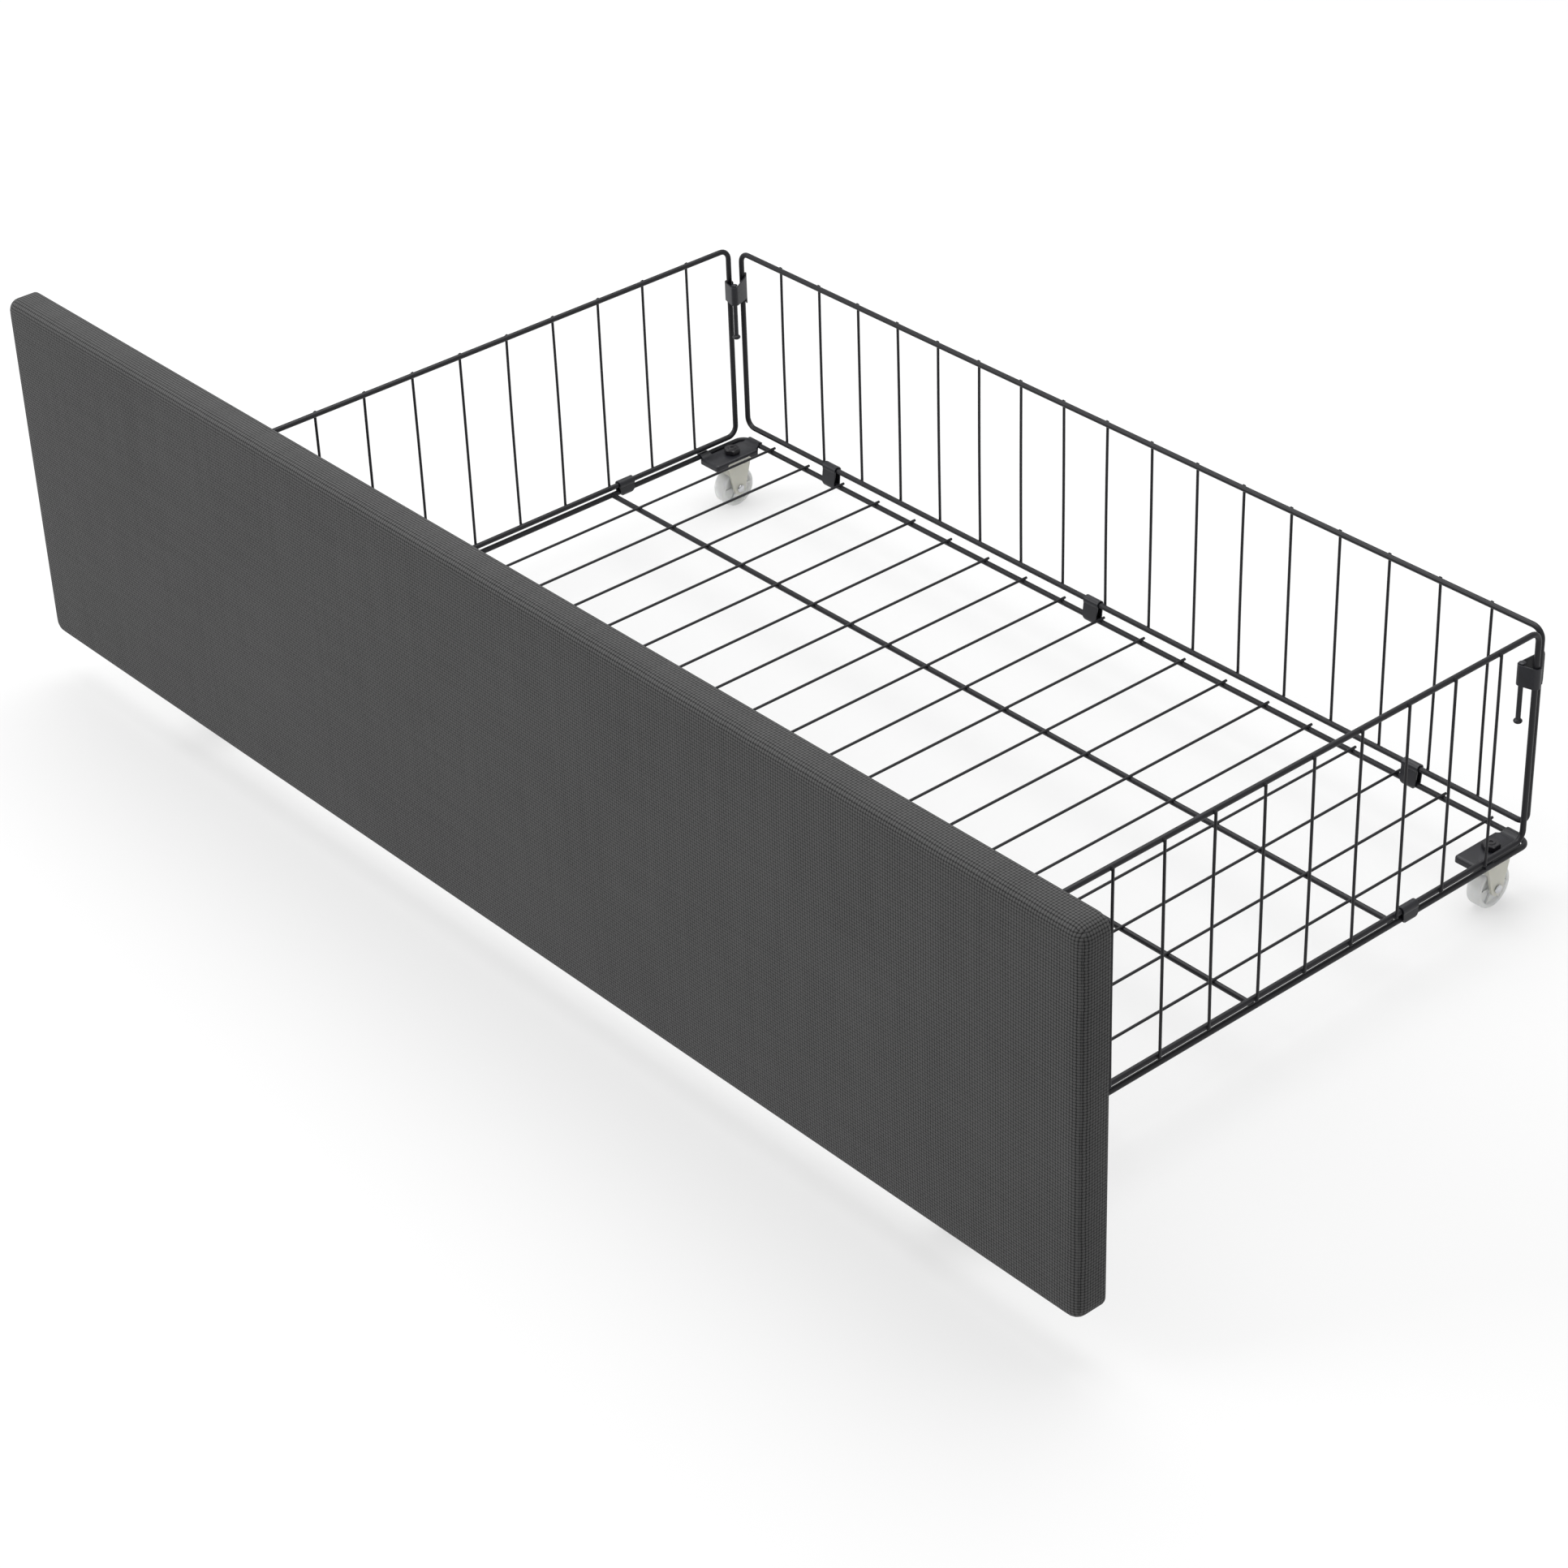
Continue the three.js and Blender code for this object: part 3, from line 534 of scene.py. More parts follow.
# ---- wire basket -------------------------------------------------------------------------------
def make_floor_grid():
    """The basket's floor: a bent perimeter wire, three bearers, and cross wires welded on top."""
    bm = bmesh.new()
    outline = rounded_rectangle((-side_x, front_y), (side_x, rear_y), WIRE_BEND)
    wire(bm, [Vector((p[0], p[1], base_z)) for p in outline], THICK_WIRE, UP, 20, closed=True)
    lines = [front_y, rear_y]
    reach = side_x - THICK_WIRE / 4
    for i in range(BEARERS):
        y = rear_y - BEARER_REAR_GAP - i * (rear_y - front_y - BEARER_REAR_GAP) / BEARERS
        z = base_z + BEARER_LIFT
        wire(bm, [Vector((-reach, y, z)), Vector((reach, y, z))], THICK_WIRE, UP, 20)
        for x in (-reach, reach):
            weld(bm, Vector((x - math.copysign(1.5 * MM, x), y, z)), X * 1.1, Y * 1.75, UP * 1.8)
        lines.append(y)
    chance = random.Random(11)
    half = side_x - CROSS_WIRE_INSET
    for i in range(CROSS_WIRES):
        x = -half + i * 2 * half / (CROSS_WIRES - 1)
        z = base_z + GRID_OFFSET
        start = Vector((x, front_y - FLOOR_OVERHANG, z))
        end = Vector((x, rear_y + FLOOR_OVERHANG, z))
        wire(bm, bowed(start, end, X * chance.uniform(-0.35, 0.35) * MM), THIN_WIRE, UP)
        for y in lines:
            weld(bm, Vector((x, y, base_z + THICK_WIRE / 2 - 0.1 * MM)), Y, X, UP)
    make_piece("floor_grid_wires", bm, WIRE_FINISH, "base", ["base_grid"])


def make_panel(name, node, body, hinge, along, out, half, height, uprights, seed):
    """One side of the basket: a bent frame wire with uprights welded on its outer face."""
    def place(u, v, outward=0.0):
        return hinge + along * u + out * outward + UP * v

    bm = bmesh.new()
    outline = rounded_rectangle((-half, 0), (half, height), WIRE_BEND)
    wire(bm, [place(p[0], p[1]) for p in outline], THICK_WIRE, out, 20, closed=True)
    chance = random.Random(seed)
    for u in uprights:
        bow = along * chance.uniform(-0.45, 0.45) * MM
        start = place(u, -PANEL_OVERHANG, GRID_OFFSET)
        end = place(u, height + PANEL_OVERHANG, GRID_OFFSET)
        wire(bm, bowed(start, end, bow), THIN_WIRE, out)
        for v in (0, height):
            weld(bm, place(u, v, THICK_WIRE / 2 - 0.1 * MM), UP, along, out)
    make_piece(name, bm, WIRE_FINISH, body, [node])


def spread(first, last, count):
    return [first + (last - first) * i / (count - 1) for i in range(count)]


def make_panels():
    rear_latch = joint_place["latch_rear_left_turn"].y
    front_latch = joint_place["latch_front_left_turn"].y
    half = (rear_latch - front_latch) / 2
    places = spread(SIDE_UPRIGHT_FRONT_GAP - half, half - SIDE_UPRIGHT_REAR_GAP, SIDE_UPRIGHTS)
    for side, out in (("left", -X), ("right", X)):
        node = f"{side}_panel"
        hinge = joint_place[f"{side}_fold"]
        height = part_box(node)[1].z - PANEL_OVERHANG - hinge.z
        make_panel(f"{side}_panel_wires", node, f"{side}_side", hinge, Y, out,
                   half, height, places, 21 + len(side))
    end_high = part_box("back_panel")[1]
    end_half = end_high.x - THICK_WIRE / 2 * EIGHT_SIDED
    pitch = 2 * end_half / (END_UPRIGHTS + 1)
    places = spread(pitch - end_half, end_half - pitch, END_UPRIGHTS)
    hinge = joint_place["back_fold"]
    height = end_high.z - PANEL_OVERHANG - hinge.z
    make_panel("back_panel_wires", "back_panel", "back_side", hinge, X, Y, end_half, height, places, 31)
    front_wire_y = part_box("front_panel")[1].y - THICK_WIRE / 2 * EIGHT_SIDED
    front_hinge = Vector((0, front_wire_y, hinge.z))
    make_panel("front_panel_wires", "front_panel", "base", front_hinge, X, -Y, end_half, height, places, 41)


# ---- hinge clips -------------------------------------------------------------------------------
def clip_path(set_out, rise):
    """The clip's middle line across the wires: up the outside, over the panel's bottom wire, a
    crease under the roll, down the inside and closed round the base wire."""
    radius = THICK_WIRE / 2 + WRAP_GAP + SHEET / 2
    lean = math.degrees(math.atan2(set_out, rise))
    return (
        flat_arc((0, 0), radius, -48, 12 - lean, 6)
        + flat_arc((set_out, rise), radius, -lean - 30, 180 - lean + 34, 24)
        + flat_arc((0, 0), radius, 168 - lean, 292, 13)
    )


def make_clip(name, node, out, base_wire, set_out, rise):
    low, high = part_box(node)
    along = Y if abs(out.x) > 0.5 else X
    centre = (low + high).dot(along) / 2
    half = (high - low).dot(along) / 2
    path = clip_path(set_out, rise)
    trims = []
    for point in path:
        below = (THICK_WIRE * 0.3 - point[1]) / (THICK_WIRE * 1.2)
        trims.append(half - CLIP_CHAMFER * min(max(below, 0), 1) ** 1.2)
    bm = bmesh.new()
    formed_sheet(
        bm, path, [-t for t in trims], trims,
        lambda p, w: base_wire + out * p[0] + UP * p[1] + along * (centre + w),
    )
    make_piece(name, bm, STEEL_FINISH, "base", [node])


def make_clips():
    side_rise = joint_place["left_fold"].z - base_z
    end_rise = joint_place["back_fold"].z - base_z
    set_out = joint_place["back_fold"].y - rear_y
    for end, out, y in (("back", Y, rear_y), ("front", -Y, front_y)):
        for i in (1, 2, 3):
            node = f"hinge_clip_{end}_{i}"
            make_clip(f"clip_{end}_{i}", node, out, Vector((0, y, base_z)), set_out, end_rise)
    for side, out in (("left", -X), ("right", X)):
        for i in (1, 2):
            node = f"hinge_clip_{side}_{i}"
            make_clip(f"clip_{side}_{i}", node, out, out * side_x + UP * base_z, 0.0, side_rise)


# ---- corner latches ----------------------------------------------------------------------------
def make_latch(end, side):
    """A sheet that wraps the side panel's end wire and the finger pin in one flat loop, and hooks
    behind the back panel's end wire under a domed top."""
    post = joint_place[f"latch_{end}_{side}_turn"]
    inboard = X if side == "left" else -X
    outward = Y if end == "rear" else -Y
    hinge = joint_place["back_fold"]
    end_wire = Vector((side_x - (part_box("back_panel")[1].x - THICK_WIRE / 2 * EIGHT_SIDED),
                       hinge.y - joint_place["latch_rear_left_turn"].y))
    pin_low, pin_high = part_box(f"latch_pin_{end}_{side}")
    pin_centre = (pin_low + pin_high) / 2 - post
    pin = Vector((pin_centre.dot(inboard), pin_centre.dot(outward)))
    radius = THICK_WIRE / 2 + WRAP_GAP + SHEET / 2
    pin_radius = PIN_DIAMETER / 2 + WRAP_GAP + SHEET / 2
    reach = pin - end_wire
    lean = math.degrees(math.atan2(reach.x, -reach.y))
    turn = math.degrees(math.atan2(pin.y, pin.x)) - 90
    hook = flat_arc(end_wire, radius, 105, lean, 14)
    path = (
        hook
        + flat_arc(pin, pin_radius, lean, turn, 12)
        + flat_arc((0, 0), radius, turn, -285, 20)
    )
    travel = [0.0]
    for a, b in zip(path, path[1:]):
        travel.append(travel[-1] + (b - a).length)
    hook_end = travel[len(hook) - 1]
    dome_centre, dome_half = hook_end * 0.42, hook_end * 0.75
    high, low = [], []
    for distance in travel:
        rise = max(1 - ((distance - dome_centre) / dome_half) ** 2, 0) ** 0.5
        ease = min(distance / (0.9 * MM), 1) ** 0.5
        high.append(LATCH_HEIGHT - 1.2 * MM * (1 - ease) + LATCH_DOME * rise)
        low.append(-LATCH_TAB if 0.2 * MM < distance < 3.2 * MM else 0.0)
    # Both corners of the sleeve are nipped at its free edge.
    nip = 2 * MM
    for i, distance in enumerate(travel):
        left = travel[-1] - distance
        if left < nip:
            low[i] += (nip - left) * 0.7
            high[i] -= (nip - left) * 0.7
    bm = bmesh.new()
    formed_sheet(bm, path, low, high, lambda p, h: post + inboard * p[0] + outward * p[1] + UP * h)
    name = f"{end}_{side}"
    make_piece(f"corner_latch_{name}", bm, STEEL_FINISH, f"latch_{name}", [f"latch_{name}"])

    bm = bmesh.new()
    shank = PIN_DIAMETER / 2
    foot = -PIN_DROP
    profile = [(0.1 * MM, foot)]
    for angle in map(math.radians, (20, 40, 60, 78, 90, 110, 128)):
        profile.append((PIN_HEAD * math.sin(angle), foot + PIN_HEAD * 0.62 * (1 - math.cos(angle))))
    top = LATCH_HEIGHT
    profile += [
        (shank * 1.06, foot + PIN_HEAD * 1.18), (shank, foot + PIN_HEAD * 1.4),
        (shank, top + 0.2 * MM), (shank * 1.4, top + 0.3 * MM), (shank * 1.35, top + 0.75 * MM),
        (shank * 0.8, top + 1.1 * MM), (0.1 * MM, top + 1.2 * MM),
    ]
    place = post + inboard * pin.x + outward * pin.y
    lathe(bm, profile, lambda x, y, h: place + X * x + Y * y + UP * h, 24)
    make_piece(f"finger_pin_{name}", bm, STEEL_FINISH, f"latch_{name}", [f"latch_pin_{name}"])


# ---- casters -----------------------------------------------------------------------------------
def shrink(outline, inset):
    """Moves a closed anticlockwise outline inwards."""
    moved = []
    for i, here in enumerate(outline):
        along = (outline[(i + 1) % len(outline)] - outline[i - 1]).normalized()
        moved.append(here + Vector((-along[1], along[0])) * inset)
    return moved


def evenly(outline, spacing):
    """Adds points so that no step of a closed outline is longer than the spacing."""
    points = []
    for i, here in enumerate(outline):
        after = outline[(i + 1) % len(outline)]
        steps = max(1, math.ceil((after - here).length / spacing))
        points += [here.lerp(after, k / steps) for k in range(steps)]
    return points


class Corner:
    """One of the basket's four corners, where a caster stands: +X outboard, +Y towards the end."""

    def __init__(self, end, side):
        self.name = f"{end}_{side}"
        self.flip_x = 1 if side == "right" else -1
        self.flip_y = 1 if end == "rear" else -1
        hub = joint_place[f"wheel_{self.name}_spin"]
        self.bolt = Vector((hub.x, hub.y, base_z))
        self.hub = hub
        low, high = self.local(*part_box(f"caster_plate_{self.name}"))
        self.plate = (low, high)
        self.nut_foot = self.local(*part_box(f"caster_nut_{self.name}"))[0].z
        self.fork = self.local(*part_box(f"caster_fork_{self.name}"))

    def local(self, low, high):
        ends = []
        for corner in (low, high):
            step = corner - self.bolt
            ends.append(Vector((step.x * self.flip_x, step.y * self.flip_y, step.z)))
        return (Vector(map(min, *ends)), Vector(map(max, *ends)))

    def place(self, x, y, z):
        return self.bolt + Vector((x * self.flip_x, y * self.flip_y, z))


def lapped_tab(edge, top):
    """The middle line of a tab that leaves the plate's edge and laps over the wire beside it."""
    wire_centre = edge + THICK_WIRE / 2 + WRAP_GAP
    start = [Vector((edge - 4 * MM, top - 0.5 * MM)), Vector((edge - 1.6 * MM, top - 0.4 * MM))]
    return start + flat_arc((wire_centre, 0), THICK_WIRE / 2 + SHEET / 2, 142, 35, 12)


def make_caster_plate(c):
    """Pressed plate: edges folded down on the open sides, and two tabs lapped over the wires."""
    low, high = c.plate
    bend = WIRE_BEND - THICK_WIRE / 2 - WRAP_GAP
    chamfer = 3.5 * MM
    outline = evenly(
        flat_arc((low.x + 2 * MM, low.y + 2 * MM), 2 * MM, 180, 270, 5)
        + flat_arc((high.x - 1.5 * MM, low.y + 1.5 * MM), 1.5 * MM, 270, 360, 4)
        + flat_arc((high.x - bend, high.y - bend), bend, 0, 90, 10)
        + [Vector((low.x + chamfer, high.y)), Vector((low.x, high.y - chamfer))],
        0.8 * MM,
    )
    top = high.z
    fold, shallow = 4.3 * MM, 1.9 * MM
    middle = (low.y + high.y) / 2
    lips = []
    for p in outline:
        inner_side = min(max((low.x + 1.2 * MM - p[0]) / (1.0 * MM) + 0.5, 0), 1)
        near_end = min(max((low.y + 1.2 * MM - p[1]) / (1.0 * MM) + 0.5, 0), 1)
        window = min(max((11 * MM - abs(p[1] - middle)) / (1.5 * MM), 0), 1)
        lips.append(top - shallow - (fold - shallow) * max(inner_side * (1 - window), near_end))
    inside = PLATE_SHEET

    def level(inset, z):
        return [c.place(p[0], p[1], z) for p in shrink(outline, inset)]

    def rim(inset):
        return [c.place(p[0], p[1], z) for p, z in zip(shrink(outline, inset), lips)]

    arc_steps = [(1 - math.sin(math.radians(a)), 1 - math.cos(math.radians(a))) for a in (0, 22, 45, 68, 90)]
    rings = [level(PLATE_BEND * across, top - PLATE_BEND * down) for across, down in arc_steps]
    rings += [rim(0.0), rim(inside)]
    rings += [level(inside, top - PLATE_BEND - 0.1 * MM), level(inside + 0.6 * MM, top - inside)]
    bm = bmesh.new()
    skin(bm, rings)
    side_path, end_path = lapped_tab(high.x, top), lapped_tab(high.y, top)
    count = len(side_path)
    flare = [1.4 * MM * max(1 - i / 4, 0) for i in range(count)]
    formed_sheet(
        bm, side_path, [low.y + 1.0 * MM] * count, [low.y + 8.5 * MM + f for f in flare],
        lambda p, w: c.place(p[0], w, p[1]),
    )
    formed_sheet(
        bm, end_path, [low.x + chamfer + 0.4 * MM - f for f in flare],
        [high.x - bend + 1.5 * MM + f for f in flare],
        lambda p, w: c.place(w, p[0], p[1]),
    )
    make_piece(f"plate_{c.name}", bm, STEEL_FINISH, "base", [f"caster_plate_{c.name}"])


def hex_distance(angle, flat):
    """From the centre to a hexagon's edge."""
    return flat / math.cos((angle + math.pi / 6) % (math.pi / 3) - math.pi / 6)


def hex_block(bm, flat, low, high, chamfer_low, chamfer_high, place, sides=72):
    """A hexagon of steel whose ends are turned to a shallow cone, as a nut's are."""
    angles = [2 * math.pi * i / sides for i in range(sides)]
    rings = []
    for radius_cap, z in (
        (flat * 0.95, low), (flat * (1.16 if chamfer_low else 1.2), low + 0.55 * MM),
        (flat * (1.16 if chamfer_high else 1.2), high - 0.55 * MM), (flat * 0.95, high),
    ):
        rings.append([
            place(min(hex_distance(a, flat), radius_cap) * math.cos(a),
                  min(hex_distance(a, flat), radius_cap) * math.sin(a), z)
            for a in angles
        ])
    skin(bm, rings)


def make_nut_and_bolt(c):
    """Hex nut over the plate, and the bolt through plate and fork with a dimple in its end."""
    foot = c.nut_foot
    flat = NUT_ACROSS_FLATS / 2
    bm = bmesh.new()
    hex_block(bm, flat, foot - 0.25 * MM, foot + NUT_HEIGHT, True, True, c.place)
    make_piece(f"hex_nut_{c.name}", bm, NUT_FINISH, "base", [f"caster_nut_{c.name}"], 25)
    bm = bmesh.new()
    low = c.local(*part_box(f"caster_bolt_{c.name}"))[0]
    shank = 3.0 * MM
    tip = foot + NUT_HEIGHT + 0.55 * MM
    head = low.z + 4 * MM
    profile = [
        (0.1 * MM, low.z), (flat * 0.9, low.z), (flat, low.z + 0.5 * MM), (flat, head),
        (shank, head), (shank, tip - 0.5 * MM), (shank - 0.45 * MM, tip),
        (1.25 * MM, tip), (1.1 * MM, tip - 0.3 * MM), (1.0 * MM, tip - 1.8 * MM), (0.1 * MM, tip - 2.2 * MM),
    ]
    lathe(bm, profile, c.place, 32)
    make_piece(f"stem_bolt_{c.name}", bm, NUT_FINISH, "base", [f"caster_bolt_{c.name}"], 30)


def make_fork(c):
    """Moulded nylon fork: a flat top that two tapering legs hang from."""
    high = c.fork[1]
    leg_end = 4.9 * MM
    shoulder = 10.8 * MM
    top = high.z
    axle = c.hub.z - c.bolt.z
    flange = bmesh.new()
    half_x, half_y = high.x, high.y
    outline = rounded_rectangle((-half_x, -half_y), (half_x, half_y), 5.5 * MM, 6)
    drawn_out(flange, outline, top - FORK_TOP, top, lambda p, z: Vector((p[0], p[1], z)))
    break_edges(flange, 0.35 * MM)
    body = flange
    for sign in (-1, 1):
        leg = bmesh.new()
        leg_outline = (
            [Vector((-shoulder, top - 1.2 * MM))]
            + flat_arc((0, axle), leg_end, 198, 342, 14)
            + [Vector((shoulder, top - 1.2 * MM))]
        )
        inner = half_x - 0.4 * MM - FORK_LEG
        drawn_out(
            leg, leg_outline, sign * inner, sign * (inner + FORK_LEG),
            lambda p, x: Vector((x, p[0], p[1])),
        )
        break_edges(leg, 0.4 * MM)
        body = combine(body, leg, "UNION")
    web = bmesh.new()
    arch = (
        [Vector((-shoulder + 0.8 * MM, top - 1.5 * MM)), Vector((-shoulder + 1.3 * MM, top - 4 * MM))]
        + flat_arc((0, axle), 15.6 * MM, 126, 54, 14)
        + [Vector((shoulder - 1.3 * MM, top - 4 * MM)), Vector((shoulder - 0.8 * MM, top - 1.5 * MM))]
    )
    drawn_out(web, arch, -half_x + 1.2 * MM, half_x - 1.2 * MM, lambda p, x: Vector((x, p[0], p[1])))
    body = combine(body, web, "UNION")
    bmesh.ops.transform(body, matrix=Matrix.Translation(c.bolt), verts=body.verts)
    make_piece(f"fork_{c.name}", body, FORK_FINISH, "base", [f"caster_fork_{c.name}"], 30)


def make_wheel(c):
    """A nylon wheel with a thick tread, a thinner web and six ribs."""
    low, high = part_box(f"caster_wheel_{c.name}")
    radius, half = (high.z - low.z) / 2, (high.x - low.x) / 2
    bore = 1.75 * MM
    boss, web_half, tread = 4.2 * MM, 3.0 * MM, 11 * MM
    side = [
        (bore, half - 0.3 * MM), (bore + 0.3 * MM, half), (boss - 0.5 * MM, half), (boss, half - 0.5 * MM),
        (boss + 0.3 * MM, web_half + 0.3 * MM), (boss + 0.8 * MM, web_half),
        (tread - 0.8 * MM, web_half), (tread - 0.3 * MM, web_half + 0.3 * MM),
        (tread, half - 0.4 * MM), (tread + 0.4 * MM, half),
    ]
    side += [(radius - 1.6 * MM + 1.6 * MM * math.sin(math.radians(a)),
              half - 1.6 * MM + 1.6 * MM * math.cos(math.radians(a))) for a in (0, 22, 45, 68, 90)]
    profile = side + [(r, -h) for r, h in reversed(side)]

    def place(x, y, height):
        return c.hub + Vector((height, x, y))

    bm = bmesh.new()
    lathe(bm, profile, place, 64, closed=True)
    for i in range(6):
        turn = Matrix.Rotation(i * math.pi / 3, 4, "X")
        for sign in (-1, 1):
            outline = [Vector((boss - 0.3 * MM, -0.6 * MM)), Vector((tread + 0.2 * MM, -0.6 * MM)),
                       Vector((tread + 0.2 * MM, 0.6 * MM)), Vector((boss - 0.3 * MM, 0.6 * MM))]
            drawn_out(bm, outline, sign * (web_half - 0.4 * MM), sign * (half - 0.5 * MM),
                      lambda p, x: c.hub + turn @ Vector((x, p[0], p[1])))
    name = f"wheel_{c.name}"
    make_piece(name, bm, WHEEL_FINISH, name, [f"caster_{name}"], 30)

    reach = c.local(*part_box(f"caster_axle_{c.name}"))[1].x
    shank, cap = 1.45 * MM, 2.85 * MM
    dome = [(cap * math.sin(math.radians(a)), reach - 1.25 * MM * (1 - math.cos(math.radians(a))))
            for a in (3, 25, 45, 65, 90)]
    profile = dome + [(cap, reach - 1.35 * MM), (shank, reach - 1.4 * MM)]
    profile += [(r, -h) for r, h in reversed(profile)]
    bm = bmesh.new()
    lathe(bm, profile, place, 32)
    make_piece(f"axle_pin_{c.name}", bm, ZINC_FINISH, "base", [f"caster_axle_{c.name}"], 40)


def make_casters():
    for end in ("rear", "front"):
        for side in ("left", "right"):
            corner = Corner(end, side)
            make_caster_plate(corner)
            make_nut_and_bolt(corner)
            make_fork(corner)
            make_wheel(corner)


# ---- front board -------------------------------------------------------------------------------
def edge_lines(half):
    """Grid lines across the board, close together where the padding rolls over the edge."""
    near = [0, 0.25, 0.9, 1.9, 3.2, 5.0, 7.5, 11, 15]
    lines = [-half + n * MM for n in near]
    steps = round((2 * half - 2 * near[-1] * MM) / (6 * MM))
    step = (2 * half - 2 * near[-1] * MM) / steps
    lines += [lines[-1] + step * i for i in range(1, steps)]
    return lines + [half - n * MM for n in reversed(near)]


def round_corner(x, z, half_x, half_z):
    """Draws a point of the rectangle into the rounded one. Gives the point and its edge distance."""
    over_x = abs(x) - (half_x - BOARD_CORNER)
    over_z = abs(z) - (half_z - BOARD_CORNER)
    if over_x > 0 and over_z > 0:
        reach = max(over_x, over_z)
        pull = reach / math.hypot(over_x, over_z)
        x = math.copysign(half_x - BOARD_CORNER + over_x * pull, x)
        z = math.copysign(half_z - BOARD_CORNER + over_z * pull, z)
        return x, z, BOARD_CORNER - reach
    return x, z, min(half_x - abs(x), half_z - abs(z))


def rolled(distance, radius):
    """How far the surface has dropped at a distance from the edge of a rolled-over corner."""
    if distance >= radius:
        return 0.0
    return radius - math.sqrt(max(radius**2 - (radius - distance) ** 2, 0))


def rim(grid):
    """The corners round the edge of a grid, in order."""
    return (grid[0][:-1] + [line[-1] for line in grid[:-1]]
            + grid[-1][:0:-1] + [line[0] for line in grid[:0:-1]])


def make_board_cover():
    """The padded cover: crowned on the front, rolled over the edges and pulled round to the back."""
    low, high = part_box("front_board_cover")
    half_x, half_z = (high.x - low.x) / 2, (high.z - low.z) / 2
    centre_z = (high.z + low.z) / 2
    chance = random.Random(7)
    waves = [(chance.uniform(6, 22), chance.uniform(10, 26), chance.uniform(0, 6.28)) for _ in range(6)]
    columns, rows = edge_lines(half_x), edge_lines(half_z)
    bm = bmesh.new()

    def face(front):
        grid = []
        for z in rows:
            line = []
            for x in columns:
                px, pz, edge = round_corner(x, z, half_x, half_z)
                if front:
                    crown = BOARD_CROWN * (1 - abs(px / half_x) ** 10) * (1 - abs(pz / half_z) ** 4)
                    slack = sum(math.sin(px * a + pz * b + c) for a, b, c in waves) / 6 * 0.25 * MM
                    y = low.y + rolled(edge, BOARD_EDGE) - crown - slack * (1 if edge > BOARD_EDGE else 0.3)
                else:
                    y = high.y - rolled(edge, BOARD_BACK_EDGE)
                line.append(bm.verts.new((px, y, centre_z + pz)))
            grid.append(line)
        for upper, lower in zip(grid, grid[1:]):
            for i in range(len(upper) - 1):
                bm.faces.new((upper[i], upper[i + 1], lower[i + 1], lower[i]))
        return grid

    front_rim, back_rim = rim(face(True)), rim(face(False))
    count = len(front_rim)
    strips = [front_rim]
    for share in (0.3, 0.65):
        strips.append([bm.verts.new(a.co.lerp(b.co, share)) for a, b in zip(front_rim, back_rim)])
    strips.append(back_rim)
    for a, b in zip(strips, strips[1:]):
        for i in range(count):
            j = (i + 1) % count
            bm.faces.new((a[i], a[j], b[j], b[i]))
    cover = make_piece("padded_board_cover", bm, COVER_FINISH, "base",
                       ["front_board_cover", "front_board_foam"], 60)


def make_lining():
    """The dust cloth on the back of the board, held by staples along its edge."""
    low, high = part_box("front_board_lining")
    spacing = 6 * MM
    back = high.y
    columns = round((high.x - low.x) / spacing)
    rows = round((high.z - low.z) / spacing)
    pitch = 48 * MM
    bm = bmesh.new()
    grids = []
    for depth in (0.0, 0.4 * MM):
        grid = []
        for j in range(rows + 1):
            line = []
            for i in range(columns + 1):
                x = low.x + (high.x - low.x) * i / columns
                z = low.z + (high.z - low.z) * j / rows
                edge = min(x - low.x, high.x - x, z - low.z, high.z - z)
                lift = 0.28 * MM * math.sin(x * 55 + math.sin(z * 40) * 2) * math.sin(z * 48 + 1.3)
                hem = max(1 - edge / (9 * MM), 0)
                y = back - depth + lift * (1 - hem) - 0.15 * MM
                line.append(bm.verts.new((x, y, z)))
            grid.append(line)
        for a, b in zip(grid, grid[1:]):
            for i in range(columns):
                bm.faces.new((a[i], a[i + 1], b[i + 1], b[i]))
        grids.append(grid)
    outer, inner = map(rim, grids)
    for i in range(len(outer)):
        j = (i + 1) % len(outer)
        bm.faces.new((outer[i], outer[j], inner[j], inner[i]))
    make_piece("back_dust_cloth", bm, LINING_FINISH, "base", ["front_board_lining"], 60)

    bm = bmesh.new()
    inset = 5 * MM
    wire_size, crown = 0.7 * MM, 10 * MM

    def staple(x, z, along):
        y = back + 0.15 * MM
        across = along * crown / 2
        centre = Vector((x, y, z))
        sink = Vector((0, -2.5 * MM, 0))
        knee = along * 0.5 * MM
        points = [centre - across + sink, centre - across, centre - across + knee + Vector((0, 0.35 * MM, 0)),
                  centre + across - knee + Vector((0, 0.35 * MM, 0)), centre + across, centre + across + sink]
        wire(bm, points, wire_size, UP if abs(along.x) > 0.5 else X, 8)

    across_count = round((high.x - low.x - 2 * inset) / pitch)
    for i in range(across_count + 1):
        x = low.x + inset * 2 + (high.x - low.x - 4 * inset) * i / across_count
        staple(x, low.z + inset, X)
        staple(x, high.z - inset, X)
    up_count = round((high.z - low.z - 2 * inset) / pitch)
    for i in range(1, up_count):
        z = low.z + inset + (high.z - low.z - 2 * inset) * i / up_count
        staple(low.x + inset, z, UP)
        staple(high.x - inset, z, UP)
    make_piece("lining_staples", bm, ZINC_FINISH, "base", [], 40)


